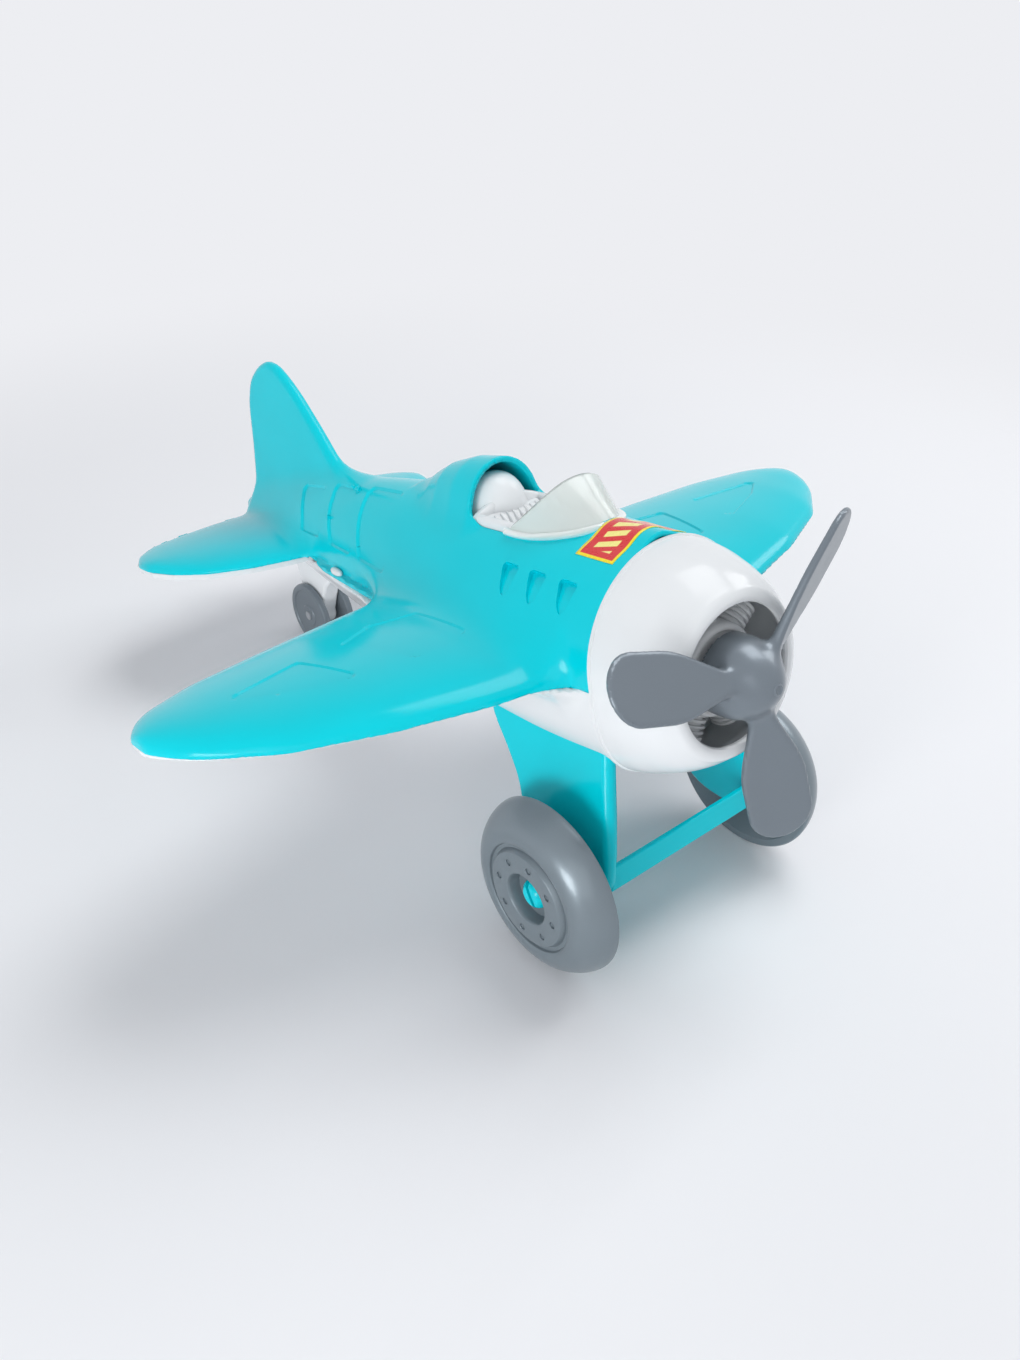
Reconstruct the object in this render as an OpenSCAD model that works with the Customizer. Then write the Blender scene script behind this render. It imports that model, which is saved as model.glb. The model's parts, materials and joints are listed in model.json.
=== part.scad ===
// Push-along toy airplane with a spinning propeller, two front wheels and a twin tail wheel.
// Millimetres, +Z up, nose towards -Y, wings along X, standing on its wheels at Z = 0.
// Every sub-part is drawn in the airframe's own level frame, with the front axle at the
// origin, and stand() then tips the nose up until the tail wheels reach the floor.

/* [Overall] */
// wing span from tip to tip
span = 280; // [250:2:310]
// fuselage length from the cowl seam to the tail end
body_l = 266; // [250:2:284]
// shell wall thickness
wall = 2; // [1.6:0.1:2.4]

/* [Fuselage] */
// fuselage radius at the cowl seam
nose_r = 33; // [31:0.5:35]
// height of the fuselage axis over the front axle
nose_z = 70; // [66:0.5:74]
// distance of the cowl seam ahead of the front axle
seam_ahead = 14.6; // [12:0.2:17]
// drop of the parting plane below the fuselage axis
split_drop = 5; // [3:0.5:7]
// length of the snap slot at the shell edge
clip_l = 8; // [6:0.5:10]

/* [Wings and tail] */
// wing chord at the root
wing_chord = 106; // [96:1:112]
// height of the upper wing skin at the root
wing_t = 12; // [9:0.5:14]
// wing dihedral angle
wing_rise = 2.7; // [1:0.1:4]
// distance of the wing leading edge ahead of the front axle
wing_ahead = 5; // [2:0.5:8]
// thickness of the lower wing skin
skin_t = 2.2; // [1.8:0.1:3]
// stabiliser span
stab_span = 140; // [120:2:160]
// stabiliser chord at the root
stab_chord = 80; // [74:1:84]
// height of the upper stabiliser skin at the root
stab_t = 7; // [5:0.5:9]
// height of the fin over the fuselage axis
fin_h = 70; // [60:1:80]
// fin thickness
fin_t = 5; // [4:0.2:7]

/* [Cowl and engine] */
// length of the cowl ring
cowl_l = 27; // [24:0.5:30]
// radius of the air opening
cowl_hole_r = 21.5; // [20:0.5:23]
// drop of the propeller axis below the fuselage axis
axis_drop = 3.6; // [2:0.2:5]
// number of dummy cylinders
cyl_n = 7; // [5:1:9]
// radius of a dummy cylinder
cyl_r = 3.6; // [3:0.1:3.8]

/* [Propeller] */
// blade tip radius
prop_r = 57.5; // [52:0.5:62]
// largest blade width
blade_w = 22; // [18:0.5:25]
// blade thickness
blade_t = 2.4; // [1.8:0.1:3]
// blade pitch angle
blade_pitch = 28; // [20:1:32]
// spinner base radius
spin_r = 12.4; // [11:0.2:14]
// spinner length
spin_l = 19; // [17:0.5:23]
// rest angle of the first blade
blade_a0 = 40.5; // [0:0.5:119]

/* [Cockpit] */
// half width of the cockpit opening
pit_rx = 15.5; // [13:0.5:17]
// half length of the cockpit opening
pit_ry = 28; // [25:0.5:30]
// distance of the cockpit centre behind the front axle
pit_y = 34; // [30:0.5:38]
// height of the headrest hump over the fuselage axis
hump_h = 48; // [44:0.5:52]
// windscreen height over the cockpit rim
screen_h = 12; // [9:0.5:15]

/* [Front wheels] */
// front wheel diameter
wheel_d = 60; // [54:1:64]
// distance from the centre line to the outer wheel face
wheel_out = 56; // [53:0.5:60]
// width of the wheel
wheel_w = 12; // [10:0.5:14]
// wheel pin radius
pin_r = 4; // [3.4:0.1:4.6]
// radial running clearance of the wheel pin
pin_gap = 0.06; // [0.03:0.01:0.1]
// radius of the hub recess
hub_r = 8.4; // [7.4:0.1:9.4]

/* [Landing gear] */
// leg plate thickness
leg_t = 3.2; // [2.6:0.1:4]
// leg splay angle from vertical
leg_splay = 14; // [10:0.5:16]
// height of the cross bar
bar_h = 8; // [6:0.5:10]

/* [Tail wheels] */
// tail wheel diameter
tail_d = 29; // [25:0.5:33]
// tail wheel distance behind the front axle
tail_y = 205; // [196:1:212]
// tail axle height over the front axle, before the nose is tipped up
tail_z = 29; // [24:0.5:34]
// tail wheel thickness
tail_t = 3; // [2.4:0.1:4]
// tail axle radius
rod_r = 2; // [1.6:0.1:2.4]
// width of the tail bracket
pod_w = 8; // [6:0.5:9]

/* [Hidden] */
wheel_r = wheel_d / 2;
tail_r = tail_d / 2;
// tail wheels and front wheels share the floor
tail_reach = sqrt(tail_y * tail_y + tail_z * tail_z);
pitch = atan2(tail_z, tail_y) + asin((wheel_r - tail_r) / tail_reach);
seam_y = -seam_ahead;
split_z = nose_z - split_drop;
axis_z = nose_z - axis_drop;
cowl_y = seam_y - cowl_l;
prop_y = cowl_y + 4.6;
tail_end = seam_y + body_l;
// middle of the standing toy along Y, so the frame sits under its centre
mid_y = ((tail_end * cos(pitch) + nose_z * sin(pitch))
    + ((prop_y - spin_l) * cos(pitch) + axis_z * sin(pitch)) - 7) / 2;
ring_n = 32;
fine_n = 64;
eps = 0.05;
seat_gap = 0.3;
big = 400;

teal = [0.0, 0.72, 0.78];
white = [0.94, 0.95, 0.94];
grey = [0.55, 0.57, 0.6];
steel = [0.75, 0.76, 0.78];
red = [0.85, 0.1, 0.1];

// fuselage stations: fraction of the length, then half width, top and bottom as parts of nose_r
body_t = [0, 0.13, 0.28, 0.43, 0.58, 0.73, 0.86, 0.955, 1];
body_w = [1, 1, 0.94, 0.82, 0.66, 0.48, 0.32, 0.17, 0.05];
body_top = [1, 1, 1.02, 1.0, 0.89, 0.70, 0.48, 0.28, 0.1];
body_low = [1.18, 1.18, 1.13, 1.01, 0.84, 0.61, 0.37, 0.15, 0.05];
// wing stations: fraction of the half span, then edges and skin height as parts of the root
wing_f = [0, 0.2, 0.4, 0.6, 0.8, 0.93, 0.99, 1];
wing_le = [0, 0.01, 0.045, 0.12, 0.235, 0.38, 0.48, 0.54];
wing_te = [1.03, 1.0, 0.955, 0.905, 0.845, 0.765, 0.685, 0.62];
wing_h = [1, 0.95, 0.88, 0.79, 0.68, 0.55, 0.4, 0.2];
stab_le = [0, 0.03, 0.08, 0.16, 0.29, 0.45, 0.58, 0.64];
stab_te = [1.0, 1.02, 1.03, 1.02, 0.99, 0.9, 0.8, 0.74];
stab_y = tail_end - 9 - stab_chord;
stab_z = nose_z - 1;
// cowl stations: fraction of its length, outer radius as part of nose_r
cowl_t = [0, 0.3, 0.6, 0.8, 0.93, 1];
cowl_s = [1, 0.985, 0.93, 0.86, 0.78, 0.70];

// the whole toy tipped nose-up onto its wheels, centred over the origin
module stand() {
    translate([0, -mid_y, wheel_r])
        rotate([-pitch, 0, 0])
            children();
}

// solid skinned through equal rings of points; rings turn anticlockwise seen from the first one
module loft(rings) {
    n = len(rings[0]);
    m = len(rings);
    first = [for (i = [n - 1:-1:0]) i];
    last = [for (i = [0:n - 1]) (m - 1) * n + i];
    near = [for (j = [0:m - 2]) for (i = [0:n - 1])
        [j * n + i, j * n + (i + 1) % n, (j + 1) * n + (i + 1) % n]];
    far = [for (j = [0:m - 2]) for (i = [0:n - 1])
        [j * n + i, (j + 1) * n + (i + 1) % n, (j + 1) * n + i]];
    polyhedron(points = [for (r = rings) each r], faces = concat([first], near, far, [last]),
        convexity = 8);
}

function body_ring(y, w, top, low) = [for (i = [0:ring_n - 1])
    let (a = i * 360 / ring_n, s = sin(a))
    [w * cos(a), y, nose_z + (s > 0 ? top : low) * s]];

function body_half(y) = nose_r * lookup((y - seam_y) / body_l,
    [for (i = [0:len(body_t) - 1]) [body_t[i], body_w[i]]]);

function body_floor(y) = nose_z - nose_r * lookup((y - seam_y) / body_l,
    [for (i = [0:len(body_t) - 1]) [body_t[i], body_low[i]]]);

module body(inset) {
    stop = inset > 0 ? 2 : 1;
    start = inset > 0 ? -1 : 0;
    loft([for (i = [0:len(body_t) - stop])
        body_ring(seam_y + body_l * body_t[i] + (i == 0 ? start : 0),
            max(nose_r * body_w[i] - inset, 0.4),
            max(nose_r * body_top[i] - inset, 0.4),
            max(nose_r * body_low[i] - inset, 0.4))]);
}

// rounded skin over a flat base, rising from leading to trailing edge
function skin_ring(x, y0, y1, z, h) = [for (i = [0:ring_n / 2])
    let (a = i * 360 / ring_n, s = sin(a))
    [x, (y0 + y1) / 2 - (y1 - y0) / 2 * cos(a), z + h * pow(max(s, 0), 0.8) * (1 + 0.2 * cos(a))]];

module skin(half, chord, y0, z0, rise, le, te, h, up, inset) {
    stop = inset > 0 ? 3 : 1;
    loft([for (i = [0:len(wing_f) - stop])
        skin_ring(half * wing_f[i] - (i == 0 ? eps : 0),
            y0 + chord * le[i] + inset,
            y0 + chord * te[i] - inset,
            z0 + half * wing_f[i] * tan(rise) - (inset > 0 ? eps : 0),
            up * max(h * wing_h[i] - inset, 0.3))]);
}

module wing(inset) {
    skin(span / 2, wing_chord, -wing_ahead, split_z, wing_rise, wing_le, wing_te, wing_t, 1, inset);
}

module stabiliser(inset) {
    skin(stab_span / 2, stab_chord, stab_y, stab_z, 0, stab_le, stab_te, stab_t, 1, inset);
}

// flat lower skin under a wing or stabiliser, one millimetre inside its outline
module plate(half, chord, y0, z0, rise, le, te) {
    loft([for (i = [0:len(wing_f) - 2]) let (x = half * wing_f[i] - (i == 0 ? eps : 0),
        z = z0 + half * wing_f[i] * tan(rise), a = y0 + chord * le[i] + 1, b = y0 + chord * te[i] - 1)
        [[x, a, z - skin_t], [x, a, z], [x, b, z], [x, b, z - skin_t]]]);
}

module both() {
    children();
    mirror([1, 0, 0])
        children();
}

module fin() {
    y = tail_end;
    translate([-fin_t / 2, 0, nose_z])
        rotate([90, 0, 90])
            linear_extrude(fin_t)
                polygon([[y - 106, fin_h * 0.37], [y - 88, fin_h * 0.45], [y - 77, fin_h * 0.64],
                    [y - 66, fin_h * 0.82], [y - 59, fin_h * 0.91], [y - 52, fin_h * 0.98],
                    [y - 45, fin_h], [y - 37, fin_h * 0.965], [y - 28, fin_h * 0.88],
                    [y - 22, fin_h * 0.73], [y - 18, fin_h * 0.47], [y - 11, fin_h * 0.14],
                    [y - 9, 0], [y - 90, fin_h * 0.1]]);
}

module hump(inset) {
    y = pit_y + pit_ry - 4;
    h = hump_h - 31;
    z = nose_z + 31;
    loft([for (s = [[-inset * 2, 1, 1], [12, 0.93, 0.92], [24, 0.76, 0.72], [33, 0.5, 0.46],
        [40, 0.22, 0.2]])
        [for (i = [0:ring_n - 1]) let (a = i * 360 / ring_n)
            [max(14.5 * s[1] - inset, 0.6) * cos(a), y + s[0], z + max(h * s[2] - inset, 0.6) * sin(a)]]]);
}

module oval(rx, ry, z0, z1) {
    translate([0, pit_y, z0])
        linear_extrude(z1 - z0)
            polygon([for (i = [0:47]) [rx * cos(i * 7.5), ry * sin(i * 7.5)]]);
}

module above() {
    translate([-big / 2, -big / 4, split_z])
        cube([big, big, big / 2]);
}

module below() {
    translate([-big / 2, -big / 4, split_z - big / 2])
        cube([big, big, big / 2]);
}

// snap tab between the wing root and the stabiliser
clip_y = stab_y - 34.4;
clip_x = body_half(clip_y) - 3;

module snap_slot(grow) {
    translate([clip_x - grow, clip_y - clip_l / 2 - grow, split_z - grow])
        cube([5 + grow, clip_l + 2 * grow, 3 + 2 * grow]);
}

module upper_shell() {
    color(teal)
        stand()
            difference() {
                union() {
                    intersection() {
                        body(0);
                        above();
                    }
                    both()
                        wing(0);
                    both()
                        stabiliser(0);
                    fin();
                    hump(0);
                }
                body(wall);
                both()
                    wing(wall);
                both()
                    stabiliser(wall);
                hump(wall);
                oval(pit_rx, pit_ry, nose_z + 10, nose_z + hump_h - 10);
                both()
                    snap_slot(seat_gap);
            }
}

module lower_shell() {
    color(white)
        stand()
            difference() {
                union() {
                    intersection() {
                        body(0);
                        below();
                    }
                    both()
                        plate(span / 2, wing_chord, -wing_ahead, split_z, wing_rise, wing_le, wing_te);
                }
                body(wall);
                intersection() {
                    body(0);
                    above();
                }
                screw_holes();
            }
}

module stab_skin() {
    difference() {
        plate(stab_span / 2, stab_chord, stab_y, stab_z - 0.02, 0, stab_le, stab_te);
        body(0);
    }
}

module stab_skin_left() {
    color(white)
        stand()
            mirror([1, 0, 0])
                stab_skin();
}

module stab_skin_right() {
    color(white)
        stand()
            stab_skin();
}

screw_y = [48, 112];

module screw_holes() {
    for (y = screw_y)
        translate([0, y, body_floor(y) - 4])
            cylinder(h = 12, r = 1.8, $fn = fine_n);
}

module belly_screws() {
    color(steel)
        stand()
            for (y = screw_y) {
                translate([0, y, body_floor(y) - 0.6])
                    cylinder(h = 18, r = 1.5, $fn = fine_n);
                translate([0, y, body_floor(y) - 2.8])
                    cylinder(h = 2.2, r = 3.2, $fn = fine_n);
            }
}

function cowl_ring_at(t, s, inset) = let (y = seam_y - cowl_l * t, z = nose_z - axis_drop * t)
    [for (i = [fine_n - 1:-1:0]) let (a = i * 360 / fine_n)
        [(nose_r * s - inset) * cos(a), y,
            z + (nose_r * s * (a > 180 ? 1 + (body_low[0] - 1) * (1 - t) : 1) - inset) * sin(a)]];

module cowl_ring() {
    color(white)
        stand()
            difference() {
                loft([for (i = [0:len(cowl_t) - 1]) cowl_ring_at(cowl_t[i], cowl_s[i], 0)]);
                loft([for (i = [0:len(cowl_t) - 3])
                    cowl_ring_at(cowl_t[i] - (i == 0 ? eps : 0), cowl_s[i], wall + i * 0.3)]);
                translate([0, cowl_y - 1, axis_z])
                    rotate([-90, 0, 0])
                        cylinder(h = 8, r = cowl_hole_r, $fn = fine_n);
            }
}

// turned parts of the nose, drawn along +Z and laid so that +Z points forward from y
module nose_part(y) {
    translate([0, y, axis_z])
        rotate([90, 0, 0])
            children();
}

shaft_r = 2.5;
plate_y = seam_y - 3.4;
engine_l = 12;

module engine_block() {
    color(white)
        stand()
            nose_part(plate_y + 3)
                difference() {
                    union() {
                        translate([0, axis_drop * 0.9, 0])
                            cylinder(h = 3, r = nose_r - wall - 0.6, $fn = fine_n);
                        for (i = [0:cyl_n - 1])
                            rotate([0, 0, i * 360 / cyl_n + 90])
                                translate([0, 0, 7])
                                    rotate([0, 90, 0])
                                        radial_cylinder();
                        cylinder(h = engine_l, r = 9, $fn = fine_n);
                    }
                    translate([0, 0, -1])
                        cylinder(h = 16, r = shaft_r + pin_gap, $fn = fine_n);
                }
}

// one dummy cylinder with cooling fins, drawn outwards from the crankcase
module radial_cylinder() {
    fin_r = cyl_r + 1.2;
    rotate_extrude($fn = fine_n)
        polygon(concat([[0, 7.5], [cyl_r, 7.5]],
            [for (i = [0:3]) let (z = 11.8 + i * 2.2)
                each [[cyl_r, z], [fin_r, z], [fin_r, z + 1], [cyl_r, z + 1]]],
            [[cyl_r - 0.6, 21], [0, 21]]));
}

// crankcase boss in front of the engine, from its face towards the propeller
crank_l = plate_y + 3 - engine_l - eps - prop_y - 0.4;

module crankcase() {
    color(white)
        stand()
            nose_part(plate_y + 3 - engine_l - eps)
                difference() {
                    cylinder(h = crank_l, r1 = 8.4, r2 = 7, $fn = fine_n);
                    translate([0, 0, -1])
                        cylinder(h = 30, r = shaft_r + pin_gap, $fn = fine_n);
                }
}

function blade_half(t) = 5.4 + (blade_w / 2 - 5.4) * pow(sin(90 * min(t / 0.62, 1)), 1.6);

module blade() {
    r0 = spin_r - 3;
    r1 = prop_r - blade_w / 2;
    n = 12;
    side = [for (i = [0:n]) let (t = i / n) [r0 + (r1 - r0) * t, blade_half(t)]];
    tip = [for (i = [1:n * 2 - 1]) let (a = 90 - i * 180 / (n * 2))
        [r1 + blade_w / 2 * cos(a), blade_w / 2 * sin(a)]];
    back = [for (i = [n:-1:0]) let (t = i / n) [r0 + (r1 - r0) * t, -blade_half(t)]];
    rotate([blade_pitch, 0, 0])
        translate([0, 0, -blade_t / 2])
            linear_extrude(blade_t)
                polygon(concat(side, tip, back));
}

// blades sit far enough forward to clear the cowl lip
blade_z = 10.5;

module spinner() {
    rotate_extrude($fn = fine_n)
        polygon(concat([[0, 0], [spin_r - 1.2, 0], [spin_r - 1.2, 1.4], [spin_r, 1.4]],
            [for (i = [0:11]) let (a = i * 7.5)
                [1.6 + (spin_r - 1.6) * pow(cos(a), 0.9), 6 + (spin_l - 6) * sin(a)]],
            [[1.6, spin_l], [0, spin_l]]));
}

module propeller() {
    color(grey)
        stand()
            nose_part(prop_y)
                difference() {
                    union() {
                        spinner();
                        for (i = [0:2])
                            rotate([0, 0, blade_a0 + i * 120])
                                translate([0, 0, blade_z])
                                    blade();
                    }
                    translate([0, 0, -1])
                        cylinder(h = 11, r = shaft_r + 0.02, $fn = fine_n);
                }
}

clip_back = 5;

module prop_shaft() {
    color(steel)
        stand()
            nose_part(plate_y + 3 + clip_back)
                cylinder(h = plate_y + 3 + clip_back - prop_y + 9, r = shaft_r, $fn = fine_n);
}

module prop_clip() {
    color(grey)
        stand()
            nose_part(plate_y + 3 + 3.3)
                difference() {
                    cylinder(h = 3, r = 6, $fn = fine_n);
                    translate([0, 0, -1])
                        cylinder(h = 5, r = shaft_r + 0.02, $fn = fine_n);
                }
}

rim_t = 1;
tub_z = nose_z + 14;

module cockpit_tub() {
    color(white)
        stand()
            difference() {
                intersection() {
                    oval(pit_rx - seat_gap, pit_ry - seat_gap, tub_z, nose_z + hump_h - 10);
                    body(-rim_t);
                }
                oval(pit_rx - 2.6, pit_ry - 2.6, tub_z + 2, nose_z + hump_h);
            }
}

seat_y = pit_y + 8;

module seat() {
    color(white)
        stand() {
            translate([-9, seat_y - 12, tub_z + 2])
                cube([18, 20, 6]);
            translate([-9, seat_y + 4, tub_z + 8])
                cube([18, 4, 16]);
        }
}

module instrument_panel() {
    color(white)
        stand()
            translate([-7.5, pit_y - pit_ry + 9, tub_z + 2])
                cube([15, 3, 14]);
}

function screen_ring(rx, ry, y, z) = [for (i = [0:fine_n - 1]) let (a = i * 360 / fine_n)
    [rx * cos(a), y - ry * sin(a), z]];

screen_z0 = nose_z + nose_r - 10;
screen_z1 = nose_z + nose_r + 1 + screen_h;

module screen_wall(inset, grow) {
    loft([screen_ring(pit_rx + 1 - inset, pit_ry + 1 - inset, pit_y, screen_z0 - grow),
        screen_ring(pit_rx - 3.4 - inset, pit_ry - 9 - inset, pit_y + 1, screen_z1 + grow)]);
}

// front half of the screen, falling to the rim along its sides
module screen_cut() {
    translate([-big / 4, 0, 0])
        rotate([90, 0, 90])
            linear_extrude(big / 2)
                polygon([[pit_y - pit_ry - 4, screen_z0], [pit_y + 2, screen_z0],
                    [pit_y + 2, nose_z + nose_r - 2], [pit_y - 14, screen_z1 + 1],
                    [pit_y - pit_ry - 4, screen_z1 + 1]]);
}

module windscreen() {
    color([0.9, 0.93, 0.93])
        stand()
            difference() {
                intersection() {
                    difference() {
                        screen_wall(0, 0);
                        screen_wall(1.6, eps);
                    }
                    screen_cut();
                }
                body(-rim_t);
            }
}

sticker_l = 15.5;

module sticker() {
    color(red)
        stand()
            translate([0, seam_y + 20.2, nose_z])
                rotate([90, 0, 0])
                    rotate([0, 0, 63])
                        rotate_extrude(angle = 54, $fn = fine_n)
                            translate([nose_r + 0.06, 0])
                                square([0.25, sticker_l]);
}

// legs stand inside the wheels
leg_x = wheel_out - wheel_w - 8;
hub_in = wheel_out - wheel_w - 3;
web_out = wheel_out - 5;
pin_end = wheel_out - 2;

module leg() {
    difference() {
        rotate([0, -leg_splay, 0])
            translate([-leg_t / 2, 0, 0])
                rotate([90, 0, 90])
                    linear_extrude(leg_t)
                        polygon([[-9, 52], [47, 52], [43, 40], [33, 30], [26.5, 22], [24, 12],
                            [21, 2], [13, -8], [0, -11], [-12, -8], [-18, 1], [-17.5, 10],
                            [-16, 22], [-11, 38]]);
        translate([-leg_x, 0, 0])
            body(-0.15);
    }
}

// split snap pin that carries a front wheel
module wheel_pin() {
    rotate([0, 90, 0])
        difference() {
            union() {
                cylinder(h = web_out + seat_gap - leg_x, r = pin_r, $fn = fine_n);
                translate([0, 0, web_out + seat_gap - leg_x])
                    cylinder(h = pin_end - web_out - seat_gap, r1 = pin_r + 0.9, r2 = pin_r - 0.4,
                        $fn = fine_n);
                cylinder(h = hub_in - seat_gap - leg_x, r = pin_r + 2.5, $fn = fine_n);
            }
            translate([-pin_r * 2, -0.8, web_out - leg_x - 4])
                cube([pin_r * 4, 1.6, 20]);
        }
}

module gear_leg() {
    color(teal)
        stand()
            translate([leg_x, 0, 0]) {
                leg();
                wheel_pin();
            }
}

module gear_leg_left() {
    color(teal)
        stand()
            mirror([1, 0, 0])
                translate([leg_x, 0, 0]) {
                    leg();
                    wheel_pin();
                }
}

module gear_leg_right() {
    gear_leg();
}

// inner face of a leg at height z
function leg_face(z) = leg_x - z * tan(leg_splay) - leg_t / 2 / cos(leg_splay) - 0.1;

module gear_cross_bar() {
    z0 = -0.5;
    z1 = z0 + bar_h;
    color(teal)
        stand() {
            translate([0, -15.5, 0])
                rotate([90, 0, 0])
                    linear_extrude(2)
                        polygon([[-leg_face(z0), z0], [leg_face(z0), z0], [leg_face(z1), z1],
                            [-leg_face(z1), z1]]);
            translate([0, -8.5, 0])
                rotate([90, 0, 0])
                    linear_extrude(8)
                        polygon([[-leg_face(z0), z0], [leg_face(z0), z0],
                            [leg_face(z0 + 2), z0 + 2], [-leg_face(z0 + 2), z0 + 2]]);
        }
}

// front wheel turned about its axle, open side at z = 0 and outer face at z = wheel_w
module wheel() {
    shoulder = 8;
    flat = 1;
    difference() {
        rotate_extrude($fn = fine_n)
            polygon(concat(
                [[wheel_r, 0]],
                [for (i = [0:8]) let (a = i * 11.25)
                    [wheel_r - shoulder * pow(1 - cos(a), 0.75), flat + (wheel_w - flat - 0.6) * sin(a)]],
                [[wheel_r - 9.6, wheel_w - 0.6], [wheel_r - 10, wheel_w - 1.8],
                    [wheel_r - 11.8, wheel_w - 1.8], [wheel_r - 13, wheel_w],
                    [hub_r + 1, wheel_w], [hub_r, wheel_w - 0.8], [hub_r, web_out - wheel_out + wheel_w],
                    [pin_r + pin_gap, web_out - wheel_out + wheel_w],
                    [pin_r + pin_gap, -3], [pin_r + 3, -3], [pin_r + 3, 4], [hub_r + 2, 4],
                    [hub_r + 2, wheel_w - 3.4], [wheel_r - 9, wheel_w - 3.4],
                    [wheel_r - 6, 5], [wheel_r - 2.8, 0]]));
        for (i = [0:7])
            rotate([0, 0, i * 45 + 28])
                translate([(hub_r + wheel_r - 13) / 2 + 0.3, 0, wheel_w - 1.2])
                    cylinder(h = 2, r = 1.1, $fn = fine_n);
    }
}

module wheel_right() {
    color(grey)
        stand()
            translate([wheel_out - wheel_w, 0, 0])
                rotate([0, 90, 0])
                    wheel();
}

module wheel_left() {
    color(grey)
        stand()
            mirror([1, 0, 0])
                translate([wheel_out - wheel_w, 0, 0])
                    rotate([0, 90, 0])
                        wheel();
}

module tail_bracket() {
    y0 = tail_y - 24;
    y1 = tail_y - 6;
    y2 = tail_y + 9;
    color(white)
        stand()
            difference() {
                union() {
                    translate([-pod_w / 2, 0, 0])
                        rotate([90, 0, 90])
                            linear_extrude(pod_w)
                                polygon([[y0, body_floor(y0) - 0.1], [y1, body_floor(y1) - 0.1],
                                    [y2, body_floor(y2) - 0.1], [tail_y + 6, tail_z],
                                    [tail_y - 6, tail_z], [tail_y - 13, tail_z + 14]]);
                    translate([-pod_w / 2, tail_y, tail_z])
                        rotate([0, 90, 0])
                            cylinder(h = pod_w, r = 6, $fn = fine_n);
                }
                translate([-pod_w, tail_y, tail_z])
                    rotate([0, 90, 0])
                        cylinder(h = pod_w * 2, r = rod_r + pin_gap, $fn = fine_n);
            }
}

tail_x = pod_w / 2 + 0.4;

module tail_axle() {
    color(steel)
        stand()
            translate([-tail_x - tail_t - 0.3, tail_y, tail_z])
                rotate([0, 90, 0])
                    cylinder(h = 2 * (tail_x + tail_t + 0.3), r = rod_r, $fn = fine_n);
}

module tail_wheel() {
    translate([tail_x, tail_y, tail_z])
        rotate([0, 90, 0])
            rotate_extrude($fn = fine_n)
                polygon([[rod_r + 0.02, 0], [tail_r - 0.8, 0], [tail_r, 0.8], [tail_r, tail_t - 0.8],
                    [tail_r - 0.8, tail_t], [rod_r + 0.02, tail_t]]);
}

module tail_wheel_right() {
    color(grey)
        stand()
            tail_wheel();
}

module tail_wheel_left() {
    color(grey)
        stand()
            mirror([1, 0, 0])
                tail_wheel();
}

module snap_clip() {
    translate([clip_x + 1.2, clip_y - clip_l / 2, split_z])
        cube([2.2, clip_l, 3]);
}

module snap_clip_right() {
    color(white)
        stand()
            snap_clip();
}

module snap_clip_left() {
    color(white)
        stand()
            mirror([1, 0, 0])
                snap_clip();
}

upper_shell();
lower_shell();
stab_skin_left();
stab_skin_right();
cowl_ring();
engine_block();
crankcase();
propeller();
prop_shaft();
prop_clip();
cockpit_tub();
seat();
instrument_panel();
windscreen();
sticker();
gear_leg_left();
gear_leg_right();
gear_cross_bar();
wheel_left();
wheel_right();
tail_bracket();
tail_axle();
tail_wheel_left();
tail_wheel_right();
snap_clip_left();
snap_clip_right();
belly_screws();
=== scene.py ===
"""Push-along toy airplane: its looks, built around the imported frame.

Sizes are millimetres in the airframe's level frame, with the front axle at the origin and
the nose towards -Y. Stand tips finished meshes nose-up onto their wheels, in metres.
"""
import json
import logging
import math
from dataclasses import dataclass, field
from enum import Enum
from itertools import product
from typing import Callable

import bpy
import numpy as np
from mathutils import Matrix, Vector


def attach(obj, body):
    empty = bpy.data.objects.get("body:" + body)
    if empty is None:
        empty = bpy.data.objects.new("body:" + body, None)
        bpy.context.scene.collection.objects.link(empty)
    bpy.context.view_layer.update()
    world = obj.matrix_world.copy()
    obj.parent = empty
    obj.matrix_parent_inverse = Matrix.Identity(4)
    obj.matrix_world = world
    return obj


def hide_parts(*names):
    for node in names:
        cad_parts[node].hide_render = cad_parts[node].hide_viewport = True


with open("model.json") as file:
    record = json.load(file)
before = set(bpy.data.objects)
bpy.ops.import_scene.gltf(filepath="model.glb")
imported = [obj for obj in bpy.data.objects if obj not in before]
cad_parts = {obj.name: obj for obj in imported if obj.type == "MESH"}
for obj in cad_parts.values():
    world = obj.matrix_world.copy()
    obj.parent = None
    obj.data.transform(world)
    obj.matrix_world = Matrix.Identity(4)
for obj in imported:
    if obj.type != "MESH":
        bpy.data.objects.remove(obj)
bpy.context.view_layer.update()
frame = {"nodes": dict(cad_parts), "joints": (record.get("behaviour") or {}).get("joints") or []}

log = logging.getLogger("airplane")
Array = np.ndarray
MM = 0.001
SHARP = math.radians(34)


class Slot(Enum):
    """Material slots of the record."""

    TEAL = "teal_plastic"
    WHITE = "white_plastic"
    GREY = "grey_plastic"
    STEEL = "steel"
    LABEL = "label"


class Body(Enum):
    """Moving bodies of the frame."""

    AIRFRAME = "airframe"
    PROPELLER = "propeller_body"
    WHEEL_LEFT = "front_wheel_left"
    WHEEL_RIGHT = "front_wheel_right"
    TAIL = "tail_wheel_set"


class Side(Enum):
    """Side of the airplane, as the sign of X."""

    LEFT = -1
    RIGHT = 1


# ---------------------------------------------------------------- small sums


def smooth_step(low: float, high: float, x: Array) -> Array:
    """Eases from 0 at low to 1 at high."""
    t = np.clip((x - low) / (high - low), 0, 1)
    return t * t * (3 - 2 * t)


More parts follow.
